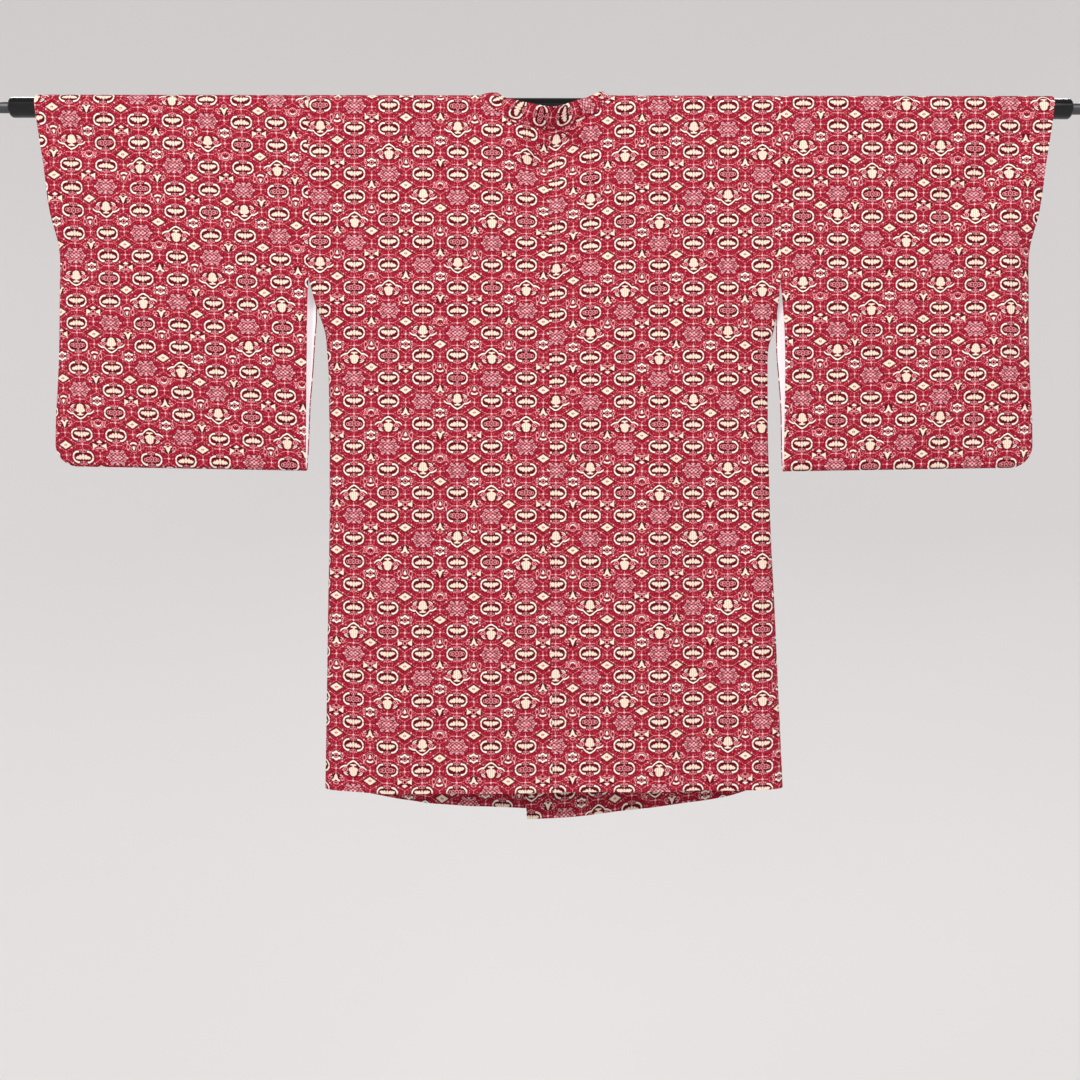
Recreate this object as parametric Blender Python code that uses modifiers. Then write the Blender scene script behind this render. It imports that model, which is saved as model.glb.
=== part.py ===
"""Michiyuki coat hung by its sleeves on a kimono rod, in metres, +Z up.

The origin is the middle of the rod's axis. The coat's back faces -Y, its wearer would look along +Y,
and the rod runs along X. The wearer's left side is at -X. Every cloth piece is a thin wall: a grid
of points on the cloth's inner face, which Solidify thickens outwards.
"""

import math
from collections import namedtuple

import bmesh
import bpy
from mathutils import Vector

# Cloth
CLOTH_THICK = 0.0015
LINING_THICK = 0.0010
COLLAR_THICK = 0.0022
SEAM_GAP = 0.0003
HALF_SEAM = SEAM_GAP / 2

# Rod
ROD_RADIUS = 0.0127
ROD_TUBE_LEFT = -0.690
ROD_TUBE_RIGHT = 0.680
ROD_CAP_ROUND = 0.004
ROD_END_RADIUS = 0.007
ROD_END_LENGTH = 0.045
ROD_END_ROUND = 0.001
ROD_SIDES = 32

# The fold over the rod: the inner face of the outer cloth, with room for the sleeve's lining
FOLD_RADIUS = 0.0144
FOLD_LENGTH = FOLD_RADIUS * math.pi / 2

# Heights below the rod's axis
ARMHOLE_BOTTOM = 0.221
SLIT_BOTTOM = 0.308
CUFF_BOTTOM = 0.204
SLEEVE_BOTTOM = 0.4675
HEM_REFERENCE = 0.876
HEM_RAMP_TOP = 0.42

# Widths
SLEEVE_TURN = 0.005
SLEEVE_RISE = 0.005
SLEEVE_CORNER = 0.029
EDGE_ROUND = 0.040
FOLD_FADE = 0.050

# Neck and collar
NECK_HALF_WIDTH = 0.082
NECK_BACK_DROP = 0.045
NECK_STEPS = 9
FRAME_INNER_X = 0.070
FRAME_OUTER_X = 0.098
FRAME_FLARE_DROP = 0.060
FRAME_INNER_DROP = 0.165
FRAME_OUTER_DROP = 0.193
FRAME_END_X = 0.068
FRONT_NECK_DROP = 0.030
COLLAR_GATHER = 0.0007
COLLAR_GAP = 0.0005

# The left front lies outside the right one
OVERLAP_LIFT = 0.0046
OVERLAP_LIFT_START = -0.098
OVERLAP_LIFT_END = -0.071

# Buttons
BUTTON_RADIUS = 0.0085
BUTTON_DOME = 0.0040
BUTTON_EDGE = 0.0012
BUTTON_X = 0.050
BUTTON_DROPS = (0.212, 0.372)
BUTTON_SIDES = 20
BUTTON_RINGS = 8

Edge = namedtuple("Edge", "drop x")
Layers = namedtuple("Layers", "drop back front")
Hem = namedtuple("Hem", "x drop")
Roll = namedtuple("Roll", "angle x y z")
Fold = namedtuple("Fold", "top_x top_drop low_x low_drop width height")

# Outline of the body's two sides, from the armhole to the hem
BODY_SIDE = {
    -1: [
        Edge(0.175, -0.30235),
        Edge(0.221, -0.3018),
        Edge(0.231, -0.2990),
        Edge(0.256, -0.2925),
        Edge(0.308, -0.2795),
        Edge(0.380, -0.2765),
        Edge(0.477, -0.2755),
        Edge(0.660, -0.2775),
        Edge(0.876, -0.2805),
    ],
    1: [
        Edge(0.175, 0.30235),
        Edge(0.221, 0.3018),
        Edge(0.231, 0.3005),
        Edge(0.256, 0.2965),
        Edge(0.308, 0.2885),
        Edge(0.380, 0.2885),
        Edge(0.477, 0.2900),
        Edge(0.660, 0.2975),
        Edge(0.876, 0.3075),
    ],
}

# The centre back seam leans a little to the right as the coat hangs
CENTRE_SEAM = [Edge(0.02, 0.005), Edge(0.27, 0.0064), Edge(0.63, 0.009), Edge(0.876, 0.0115)]

# Where the front band is sewn to the body, and the band's free edge
BAND_SEAM = {
    -1: [Edge(0.193, -0.098), Edge(0.930, -0.125)],
    1: [Edge(0.193, 0.098), Edge(0.930, 0.140)],
}
BAND_EDGE = {
    -1: [Edge(0.193, 0.068), Edge(0.930, 0.036)],
    1: [Edge(0.193, -0.068), Edge(0.930, -0.018)],
}

# Distance of each layer's inner face from the rod's axis plane
BODY_GAP = [
    Layers(0.000, 0.0144, 0.0144),
    Layers(0.100, 0.0144, 0.0150),
    Layers(0.221, 0.0144, 0.0175),
    Layers(0.350, 0.0150, 0.0200),
    Layers(0.600, 0.0170, 0.0240),
    Layers(0.930, 0.0190, 0.0280),
]
SLEEVE_GAP = [
    Layers(0.000, 0.0144, 0.0144),
    Layers(0.100, 0.0144, 0.0150),
    Layers(0.221, 0.0144, 0.0175),
    Layers(0.300, 0.0140, 0.0190),
    Layers(0.380, 0.0110, 0.0140),
    Layers(0.430, 0.0080, 0.0090),
    Layers(0.4625, 0.0050, 0.0050),
]

# The hems, as drops below the rod's axis
BACK_HEM = [Hem(-0.281, 0.8780), Hem(-0.150, 0.8825), Hem(0.000, 0.8810), Hem(0.308, 0.8760)]
LEFT_FRONT_HEM = [
    Hem(-0.281, 0.8780),
    Hem(-0.216, 0.8940),
    Hem(-0.171, 0.9010),
    Hem(-0.126, 0.9060),
    Hem(-0.037, 0.9110),
    Hem(0.040, 0.9145),
]
RIGHT_FRONT_HEM = [
    Hem(-0.020, 0.9250),
    Hem(0.008, 0.9240),
    Hem(0.098, 0.9145),
    Hem(0.187, 0.9035),
    Hem(0.232, 0.8965),
    Hem(0.277, 0.8835),
    Hem(0.308, 0.8760),
]

# Outer edge of a sleeve, from the rod to the bottom
SLEEVE_EDGE = [
    Edge(-0.014, 0.6545),
    Edge(0.013, 0.6520),
    Edge(0.083, 0.6410),
    Edge(0.137, 0.6345),
    Edge(0.204, 0.6240),
    Edge(0.233, 0.6243),
    Edge(0.297, 0.6248),
    Edge(0.360, 0.6268),
    Edge(0.424, 0.6298),
    Edge(0.468, 0.6302),
]
# Inner edges of a sleeve's two layers, open below the armhole
SLEEVE_INNER = {
    -1: [
        Layers(0.221, 0.30265, 0.30265),
        Layers(0.262, 0.3036, 0.2960),
        Layers(0.300, 0.3040, 0.2993),
        Layers(0.345, 0.3046, 0.3014),
        Layers(0.385, 0.3052, 0.3031),
        Layers(0.4625, 0.3066, 0.3066),
    ],
    1: [
        Layers(0.221, 0.30265, 0.30265),
        Layers(0.262, 0.3060, 0.3010),
        Layers(0.300, 0.3083, 0.3025),
        Layers(0.345, 0.3090, 0.3047),
        Layers(0.385, 0.3090, 0.3063),
        Layers(0.4625, 0.3086, 0.3086),
    ],
}

# The collar's folded edge over the shoulder and round the back neck, by the neck seam's angle
COLLAR_ROLL = {
    -1: [
        Roll(0, 0.0095, -0.0166, -0.0059),
        Roll(20, -0.0140, -0.0166, -0.0016),
        Roll(40, -0.0330, -0.0160, 0.0032),
        Roll(60, -0.0500, -0.0130, 0.0078),
        Roll(75, -0.0580, -0.0080, 0.0142),
        Roll(90, -0.0640, 0.0000, 0.0188),
    ],
    1: [
        Roll(0, 0.0095, -0.0166, -0.0059),
        Roll(20, 0.0290, -0.0166, -0.0012),
        Roll(40, 0.0430, -0.0160, 0.0040),
        Roll(60, 0.0570, -0.0125, 0.0095),
        Roll(75, 0.0660, -0.0065, 0.0155),
        Roll(90, 0.0720, 0.0000, 0.0206),
    ],
}

# The largest soft folds of the back, each a ridge towards the viewer (or a trough, when negative)
BODY_FOLDS = [
    Fold(-0.191, 0.40, -0.196, 0.90, 0.034, 0.0045),
    Fold(-0.107, 0.34, -0.110, 0.90, 0.036, 0.0040),
    Fold(-0.010, 0.42, -0.006, 0.90, 0.030, -0.0035),
    Fold(0.078, 0.44, 0.082, 0.90, 0.036, 0.0035),
    Fold(0.162, 0.40, 0.165, 0.90, 0.022, -0.0045),
    Fold(0.210, 0.44, 0.214, 0.90, 0.030, 0.0040),
]
SLEEVE_FOLDS = [
    Fold(0.625, 0.020, 0.500, 0.130, 0.026, -0.0040),
    Fold(0.600, 0.080, 0.470, 0.230, 0.030, 0.0035),
    Fold(0.430, 0.240, 0.436, 0.460, 0.034, 0.0030),
    Fold(0.545, 0.230, 0.560, 0.440, 0.034, -0.0030),
]

COLOURS = {
    "outer_cloth": ((0.42, 0.045, 0.085), 0.85, 0.0),
    "lining_cloth": ((0.82, 0.76, 0.76), 0.7, 0.0),
    "rod_black": ((0.012, 0.012, 0.013), 0.3, 0.0),
    "rod_grey": ((0.10, 0.11, 0.12), 0.35, 0.8),
}

# Positions across a body length, from its side to its inner edge
BODY_ACROSS = (0, 0.014, 0.045, 0.09, 0.15, 0.23, 0.32, 0.41, 0.50, 0.59, 0.68, 0.78, 0.89, 1)
BAND_ACROSS = (0, 0.2, 0.4, 0.6, 0.8, 1)
SLEEVE_ACROSS = (0, 0.05, 0.17, 0.29, 0.41, 0.53, 0.65, 0.77, 0.87, 0.93, 0.965, 0.989, 1)
LINING_ACROSS = (0.006,) + SLEEVE_ACROSS[1:10]

YOKE_DROPS = (0.07, 0.12, 0.175)
SKIRT_DROPS = (0.221, 0.238, 0.26, 0.284, 0.308, 0.36, 0.43, 0.51, 0.60, 0.69, 0.78, 0.835, 0.876)
SLEEVE_DROPS = (0.0, 0.045, 0.09, 0.15, 0.204, 0.221, 0.262, 0.30, 0.345, 0.385, 0.42, 0.4385, 0.453, 0.4625)
FOLD_STEPS = 5
TURN_STEPS = 4


def smooth(low, high, value):
    """0 below low, 1 above high, and an even curve between them."""
    share = min(1.0, max(0.0, (value - low) / (high - low)))
    return share * share * (3 - 2 * share)


def rounded(share):
    """A quarter of an ellipse: 0 at 0, upright there, and level 1 from 1 on."""
    return math.sqrt(max(0.0, 1 - (1 - min(1.0, max(0.0, share))) ** 2))


def read(table, key, column, at):
    """The table's column at a key value, with straight lines between its rows."""
    rows = [(getattr(row, key), getattr(row, column)) for row in table]
    if at <= rows[0][0]:
        return rows[0][1]
    for (low, first), (high, second) in zip(rows, rows[1:]):
        if at <= high:
            return first + (second - first) * (at - low) / (high - low)
    return rows[-1][1]


def fold_height(folds, x, drop):
    """The height of all folds at a place, each a soft ridge along its line that fades at its ends."""
    height = 0.0
    for fold in folds:
        along = Vector((fold.low_x - fold.top_x, fold.low_drop - fold.top_drop))
        place = Vector((x - fold.top_x, drop - fold.top_drop))
        share = place.dot(along) / along.length_squared
        off = (place - along * share).length
        fade = smooth(-0.15, 0.25, share) * (1 - smooth(0.8, 1.2, share))
        height += fold.height * fade * math.exp(-((off / fold.width) ** 2))
    return height


def over_rod(x, layer, length):
    """A point on the fold over the rod, at a length of cloth from its top."""
    angle = length / FOLD_RADIUS
    return Vector((x, layer * FOLD_RADIUS * math.sin(angle), FOLD_RADIUS * math.cos(angle)))


def neck_angle_length(angle):
    """How much cloth lies between the shoulder's top and the back neck seam, at an angle round the neck."""
    return NECK_BACK_DROP * math.cos(math.radians(angle))


def neck_x(side, angle):
    """Where the back neck seam lies, from the centre seam at 0 degrees to the shoulder's top at 90."""
    centre = CENTRE_SEAM[0].x * math.cos(math.radians(angle))
    return centre + side * NECK_HALF_WIDTH * math.sin(math.radians(angle))


def hem_drop(side, layer, x, drop):
    """A row's drop, stretched below the hips so that the last row lies on the hem."""
    if layer < 0:
        table = BACK_HEM
    else:
        table = LEFT_FRONT_HEM if side < 0 else RIGHT_FRONT_HEM
    share = max(0.0, (drop - HEM_RAMP_TOP) / (HEM_REFERENCE - HEM_RAMP_TOP))
    return drop + (read(table, "x", "drop", x) - HEM_REFERENCE) * share


def body_depth(side, layer, x, drop):
    """How far the body's inner face stands from the rod's axis plane."""
    full = read(BODY_GAP, "drop", "back" if layer < 0 else "front", drop)
    if layer < 0:
        full += fold_height(BODY_FOLDS, x, drop)
    edge = full * (1 - smooth(ARMHOLE_BOTTOM, SLIT_BOTTOM, drop))
    from_side = abs(x - read(BODY_SIDE[side], "drop", "x", drop))
    depth = edge + (full - edge) * rounded(from_side / EDGE_ROUND)
    if layer > 0 and side < 0:
        depth += OVERLAP_LIFT * smooth(OVERLAP_LIFT_START, OVERLAP_LIFT_END, x)
    return layer * depth


def body_inner_x(side, layer, drop):
    """Where a body length's inner edge lies: the centre seam behind, and the neck and band seam in front."""
    if layer < 0:
        return read(CENTRE_SEAM, "drop", "x", drop) + side * HALF_SEAM
    if drop >= FRAME_OUTER_DROP:
        return read(BAND_SEAM[side], "drop", "x", drop) + side * HALF_SEAM
    return side * (front_neck_x(drop + FOLD_LENGTH) + HALF_SEAM)


def front_neck_x(length):
    """Half the width of the neck at a length of cloth down the front from the shoulder's top."""
    return NECK_HALF_WIDTH + (FRAME_OUTER_X - NECK_HALF_WIDTH) * smooth(0, FRAME_FLARE_DROP, length)


def body_rows():
    """The rows of a body length from the back hem over the shoulder to the front hem.

    Each row is its layer, its length of cloth from the shoulder's top and its angle round the back neck.
    """
    rows = [(-1, FOLD_LENGTH + drop, None) for drop in reversed(YOKE_DROPS + SKIRT_DROPS)]
    for step in range(NECK_STEPS):
        angle = step * 90 / NECK_STEPS
        rows.append((-1, neck_angle_length(angle), angle))
    rows += [(1, FOLD_LENGTH * step / FOLD_STEPS, None) for step in range(FOLD_STEPS + 1)]
    front = (FRONT_NECK_DROP, *YOKE_DROPS, FRAME_OUTER_DROP, *SKIRT_DROPS)
    rows += [(1, FOLD_LENGTH + drop, None) for drop in front]
    return rows


def body_point(side, across, row):
    """A point on a body length's inner face."""
    layer, length, neck_angle = row
    drop = length - FOLD_LENGTH
    outer = read(BODY_SIDE[side], "drop", "x", drop)
    if neck_angle is None:
        inner = body_inner_x(side, layer, drop) if drop > 0 else side * (front_neck_x(length) + HALF_SEAM)
    else:
        inner = neck_x(side, neck_angle) + side * HALF_SEAM
    x = outer + (inner - outer) * across
    if drop <= 0:
        return over_rod(x, layer, length)
    fallen = hem_drop(side, layer, x, drop)
    return Vector((x, body_depth(side, layer, x, drop), -fallen))


def sleeve_edge_x(drop):
    """A sleeve's outer edge, with the rounded corner at the bottom."""
    x = read(SLEEVE_EDGE, "drop", "x", drop)
    above = SLEEVE_BOTTOM - drop
    if above < SLEEVE_CORNER:
        x -= SLEEVE_CORNER - math.sqrt(max(0.0, SLEEVE_CORNER**2 - (SLEEVE_CORNER - above) ** 2))
    return x


def sleeve_rows():
    """The rows round a sleeve, from its bottom up the back, over the rod and down the front."""
    turn = [step * math.pi / 2 / TURN_STEPS for step in range(TURN_STEPS)]
    rows = [(-1, "turn", angle) for angle in turn]
    rows += [(-1, "side", drop) for drop in reversed(SLEEVE_DROPS)]
    rows += [(-1, "fold", FOLD_LENGTH * step / FOLD_STEPS) for step in range(FOLD_STEPS - 1, 0, -1)]
    rows += [(1, "fold", FOLD_LENGTH * step / FOLD_STEPS) for step in range(FOLD_STEPS)]
    rows += [(1, "side", drop) for drop in SLEEVE_DROPS]
    rows += [(1, "turn", angle) for angle in reversed(turn)]
    return rows


def sleeve_point(side, across, row):
    """A point on a sleeve's inner face, across from the body's side to the cuff."""
    layer, zone, at = row
    drop = at
    if zone == "turn":
        drop = SLEEVE_BOTTOM - SLEEVE_TURN * (1 - math.cos(at))
    elif zone == "fold":
        drop = -FOLD_RADIUS
    inner = read(SLEEVE_INNER[side], "drop", "back" if layer < 0 else "front", drop)
    outer = sleeve_edge_x(drop)
    x = inner + (outer - inner) * across
    if zone == "fold":
        return over_rod(side * x, layer, at)
    full = read(SLEEVE_GAP, "drop", "back" if layer < 0 else "front", drop)
    if zone == "turn":
        full = SLEEVE_TURN * math.sin(at)
    ends = smooth(0.0, FOLD_FADE, SLEEVE_BOTTOM - drop) * smooth(0.0, FOLD_FADE, drop)
    full += fold_height(SLEEVE_FOLDS, x, drop) * ends
    edge = full * (1 - smooth(CUFF_BOTTOM - 0.12, CUFF_BOTTOM, drop))
    depth = edge + (full - edge) * rounded((outer - x) / EDGE_ROUND)
    fallen = drop - SLEEVE_RISE * across * smooth(CUFF_BOTTOM, SLEEVE_BOTTOM, drop)
    return Vector((side * x, layer * depth, -fallen))


def band_rows():
    """The drops of a front band's rows, from under the collar to the hem."""
    return (FRAME_OUTER_DROP + SEAM_GAP, *SKIRT_DROPS)


def band_point(side, across, drop):
    """A point on a front band's inner face, across from its seam to its free edge."""
    seam = read(BAND_SEAM[side], "drop", "x", drop) - side * HALF_SEAM
    free = read(BAND_EDGE[side], "drop", "x", drop)
    x = seam + (free - seam) * across
    return Vector((x, body_depth(side, 1, x, drop), -hem_drop(side, 1, x, drop)))


def collar_stations():
    """The collar's inner and outer edges, station by station, from the right front's end to the left's."""
    right = collar_half(1)
    left = collar_half(-1)
    return right + left[-2::-1]


def collar_half(side):
    """One half of the collar, from its front end to the centre back."""
    stations = [front_frame_station(side, -side * FRAME_END_X * share) for share in (1, 0.5, 0, -0.5)]
    stations.append(
        (
            frame_point(side, side * FRAME_INNER_X, FRAME_INNER_DROP),
            frame_point(side, side * (FRAME_OUTER_X - HALF_SEAM), FRAME_OUTER_DROP),
        )
    )
    for drop in (*reversed(YOKE_DROPS), FRONT_NECK_DROP):
        stations.append(upright_station(side, drop))
    for step in range(FOLD_STEPS, 0, -1):
        stations.append(shoulder_station(side, FOLD_LENGTH * step / FOLD_STEPS))
    for step in range(NECK_STEPS, -1, -1):
        stations.append(back_neck_station(side, step))
    return stations


def frame_point(side, x, drop):
    return Vector((x, body_depth(side, 1, x, drop), -drop))


def front_frame_station(side, x):
    return frame_point(side, x, FRAME_INNER_DROP), frame_point(side, x, FRAME_OUTER_DROP)


def upright_station(side, drop):
    outer = side * (front_neck_x(drop + FOLD_LENGTH) - HALF_SEAM)
    return frame_point(side, side * FRAME_INNER_X, drop), frame_point(side, outer, drop)


def shoulder_station(side, length):
    """A station where the collar lies over the front quarter of the rod."""
    outer = over_rod(side * (front_neck_x(length) - HALF_SEAM), 1, length)
    top = COLLAR_ROLL[side][-1]
    angle = length / FOLD_RADIUS
    inner = over_rod(top.x + (side * FRAME_INNER_X - top.x) * math.sin(angle), 1, length)
    lifted = 1 + (top.z / FOLD_RADIUS - 1) * math.cos(angle)
    return Vector((inner.x, inner.y * lifted, inner.z * lifted)), outer


def back_neck_station(side, step):
    """A station of the back neck, from its centre at step 0 to the shoulder's top."""
    angle = step * 90 / NECK_STEPS
    length = neck_angle_length(angle)
    drop = length - FOLD_LENGTH
    x = neck_x(side, angle)
    if drop <= 0:
        outer = over_rod(x, -1, length)
    else:
        outer = Vector((x, body_depth(side, -1, x, drop), -drop))
    gather = COLLAR_GATHER * (-1) ** step * (1 - smooth(60, 90, angle))
    roll = COLLAR_ROLL[side]
    x, y, z = (read(roll, "angle", column, angle) for column in ("x", "y", "z"))
    return Vector((x, y + gather, z)), outer


def material(name):
    """The Principled material of one finish."""
    made = bpy.data.materials.get(name)
    if made:
        return made
    colour, roughness, metallic = COLOURS[name]
    made = bpy.data.materials.new(name)
    made.use_nodes = True
    shader = made.node_tree.nodes["Principled BSDF"]
    shader.inputs["Base Color"].default_value = (*colour, 1)
    shader.inputs["Roughness"].default_value = roughness
    shader.inputs["Metallic"].default_value = metallic
    return made


def finished(name, mesh, finish):
    """A named object of the coat, in its collection."""
    made = bpy.data.objects.new(name, mesh)
    made.data.materials.append(material(finish))
    bpy.data.collections["michiyuki_coat"].objects.link(made)
    return made


def cloth_grid(across, rows, place):
    """A grid of cloth, its points placed by a function of the position across and the row."""
    cloth = bmesh.new()
    bmesh.ops.create_grid(cloth, x_segments=len(across) - 1, y_segments=len(rows) - 1, size=0.5)
    for vert in cloth.verts:
        column = round((vert.co.x + 0.5) * (len(across) - 1))
        row = round((vert.co.y + 0.5) * (len(rows) - 1))
        vert.co = place(across[column], rows[row])
    bmesh.ops.remove_doubles(cloth, verts=cloth.verts, dist=0.00002)
    cloth.normal_update()
    outwards = sum(face.normal.y * face.calc_center_median().y for face in cloth.faces)
    if outwards < 0:
        bmesh.ops.reverse_faces(cloth, faces=cloth.faces)
    cloth.normal_update()
    return cloth


def cloth_piece(name, cloth, finish, thick, offset=1.0):
    """A cloth wall: the grid, thickened by Solidify away from its inner face."""
    mesh = bpy.data.meshes.new(name)
    cloth.to_mesh(mesh)
    cloth.free()
    mesh.shade_smooth()
    made = finished(name, mesh, finish)
    wall = made.modifiers.new("wall", "SOLIDIFY")
    wall.thickness = thick
    wall.offset = offset
    wall.use_rim = True
    return made


def build_body(side, name):
    cloth = cloth_grid(BODY_ACROSS, body_rows(), lambda across, row: body_point(side, across, row))
    cloth_piece(name, cloth, "outer_cloth", CLOTH_THICK)


def build_sleeve(side, name, lining_name):
    cloth = cloth_grid(SLEEVE_ACROSS, sleeve_rows(), lambda across, row: sleeve_point(side, across, row))
    cloth_piece(name, cloth, "outer_cloth", CLOTH_THICK)
    lining = cloth_grid(LINING_ACROSS, sleeve_rows(), lambda across, row: sleeve_point(side, across, row))
    for vert in lining.verts:
        vert.co -= vert.normal * SEAM_GAP
    cloth_piece(lining_name, lining, "lining_cloth", LINING_THICK, offset=-1.0)


def build_band(side, name):
    cloth = cloth_grid(BAND_ACROSS, band_rows(), lambda across, drop: band_point(side, across, drop))
    cloth_piece(name, cloth, "outer_cloth", CLOTH_THICK)


def build_collar():
    """The collar: a folded band whose outer edge follows the neck, a gap away from it."""

    def place(across, station):
        inner, outer = station
        outer = outer + (inner - outer).normalized() * COLLAR_GAP
        return outer.lerp(inner, across)

    cloth = cloth_grid((0, 0.5, 1), collar_stations(), place)
    cloth_piece("collar", cloth, "outer_cloth", COLLAR_THICK)


def build_button(name, drop):
    """A cloth-covered button on the left front band: a ball pressed to a low dome, flat behind."""
    ball = bmesh.new()
    bmesh.ops.create_uvsphere(ball, u_segments=BUTTON_SIDES, v_segments=BUTTON_RINGS, radius=BUTTON_RADIUS)
    for vert in ball.verts:
        vert.co.z = max(vert.co.z * BUTTON_DOME / BUTTON_RADIUS, -BUTTON_EDGE)
    mesh = bpy.data.meshes.new(name)
    ball.to_mesh(mesh)
    ball.free()
    mesh.shade_smooth()
    made = finished(name, mesh, "outer_cloth")
    made.rotation_euler = (-math.pi / 2, 0, 0)
    lowest = drop + BUTTON_RADIUS
    seat = max(body_depth(-1, 1, BUTTON_X, drop), body_depth(-1, 1, BUTTON_X, lowest))
    made.location = (BUTTON_X, seat + CLOTH_THICK + SEAM_GAP + BUTTON_EDGE, -drop)


def build_rod_piece(name, low_x, high_x, radius, rounding, finish):
    """A round bar along X with softened ends."""
    bar = bmesh.new()
    bmesh.ops.create_cone(
        bar, cap_ends=True, segments=ROD_SIDES, radius1=radius, radius2=radius, depth=high_x - low_x
    )
    mesh = bpy.data.meshes.new(name)
    bar.to_mesh(mesh)
    bar.free()
    made = finished(name, mesh, finish)
    made.rotation_euler = (0, math.pi / 2, 0)
    made.location = ((low_x + high_x) / 2, 0, 0)
    soft = made.modifiers.new("rounded_ends", "BEVEL")
    soft.width = rounding
    soft.segments = 3
    soft.limit_method = "ANGLE"
    soft.angle_limit = math.radians(60)
    mesh.shade_smooth()
    mesh.set_sharp_from_angle(angle=math.radians(40))


def build_rod_end(name, low_x):
    build_rod_piece(name, low_x, low_x + ROD_END_LENGTH, ROD_END_RADIUS, ROD_END_ROUND, "rod_grey")


def build():
    for old in list(bpy.data.objects):
        bpy.data.objects.remove(old)
    bpy.context.scene.collection.children.link(bpy.data.collections.new("michiyuki_coat"))
    build_body(-1, "body_left")
    build_body(1, "body_right")
    build_sleeve(-1, "sleeve_left", "sleeve_lining_left")
    build_sleeve(1, "sleeve_right", "sleeve_lining_right")
    build_band(-1, "front_band_left")
    build_band(1, "front_band_right")
    build_collar()
    build_button("button_upper", BUTTON_DROPS[0])
    build_button("button_lower", BUTTON_DROPS[1])
    build_rod_piece("rod_tube", ROD_TUBE_LEFT, ROD_TUBE_RIGHT, ROD_RADIUS, ROD_CAP_ROUND, "rod_black")
    build_rod_end("rod_end_left", ROD_TUBE_LEFT - SEAM_GAP - ROD_END_LENGTH)
    build_rod_end("rod_end_right", ROD_TUBE_RIGHT + SEAM_GAP)


build()
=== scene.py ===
"""The looks of a michiyuki coat on its rod: printed cloth shells, pale linings, the rod, light and camera.

Lengths are metres in the row frame unless a comment says otherwise: +X along the rod, +Z up, the coat's
back towards -Y. A drop is a distance below the rod's axis, and the wearer's left is at -X.
"""

import math
from bisect import bisect_right
from collections import namedtuple
from functools import lru_cache

import bmesh
import bpy
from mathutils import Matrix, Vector, noise


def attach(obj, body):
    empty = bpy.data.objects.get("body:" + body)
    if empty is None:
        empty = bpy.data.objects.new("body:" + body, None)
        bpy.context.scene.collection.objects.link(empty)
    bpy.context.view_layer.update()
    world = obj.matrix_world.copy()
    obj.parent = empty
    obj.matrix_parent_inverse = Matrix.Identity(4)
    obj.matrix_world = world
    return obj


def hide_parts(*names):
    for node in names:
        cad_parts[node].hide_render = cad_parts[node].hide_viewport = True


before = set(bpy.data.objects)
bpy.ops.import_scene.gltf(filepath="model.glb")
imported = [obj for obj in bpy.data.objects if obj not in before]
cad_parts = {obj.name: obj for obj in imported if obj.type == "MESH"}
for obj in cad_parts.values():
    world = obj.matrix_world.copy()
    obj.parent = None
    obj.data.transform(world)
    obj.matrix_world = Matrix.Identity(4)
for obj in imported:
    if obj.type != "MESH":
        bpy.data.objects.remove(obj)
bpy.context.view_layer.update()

# Cloth
CLOTH_THICK = 0.0015
LINING_THICK = 0.0010
COLLAR_THICK = 0.0022
SEAM_GAP = 0.0003
HALF_SEAM = SEAM_GAP / 2
SEAM_SINK = 0.0007
SEAM_ROLL = 0.0030
PUCKER_HEIGHT = 0.0005
PUCKER_REACH = 0.016
PUCKER_WAVES = 75
PUCKER_SPREAD = 12
SEAM_FADE = 0.03
DRAPE_HEIGHT = 0.0010
DRAPE_FINE_HEIGHT = 0.0005
DRAPE_FINER = 2.7
EDGE_SOFT = 0.0004
LINING_EDGE_SOFT = 0.0003
COLLAR_EDGE_SOFT = 0.0009
EDGE_ANGLE = math.radians(55)

# Rod
ROD_RADIUS = 0.0127
ROD_TUBE_LEFT = -0.690
ROD_TUBE_RIGHT = 0.680
ROD_CAP_ROUND = 0.004
ROD_END_RADIUS = 0.007
ROD_END_LENGTH = 0.045
ROD_END_ROUND = 0.001
ROD_SIDES = 96
ROD_SHARP_ANGLE = math.radians(35)

# The fold over the rod
FOLD_RADIUS = 0.0144
FOLD_LENGTH = FOLD_RADIUS * math.pi / 2

# Drops
ARMHOLE_BOTTOM = 0.221
SLIT_BOTTOM = 0.308
CUFF_BOTTOM = 0.204
SLEEVE_BOTTOM = 0.4675
HEM_REFERENCE = 0.876
HEM_RAMP_TOP = 0.42

# Edges of the sleeves and the body, and how far their forms reach
SLEEVE_TURN = 0.005
SLEEVE_RISE = 0.005
SLEEVE_CORNER = 0.029
SLEEVE_OPEN_NARROW = 0.019
SLEEVE_OPEN_REACH = 0.050
SLEEVE_OPEN_FADE = 0.045
SLEEVE_OPEN_END = 0.1
CUFF_FADE = 0.12
CORNER_STEP = 0.0024
CORNER_STEPS = 11
LINING_START = 0.003
LINING_SHARE = 0.924
EDGE_ROUND = 0.040
BODY_EDGE_ROUND = 0.026
FOLD_FADE = 0.050
EDGE_TURN = 0.0045

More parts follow.
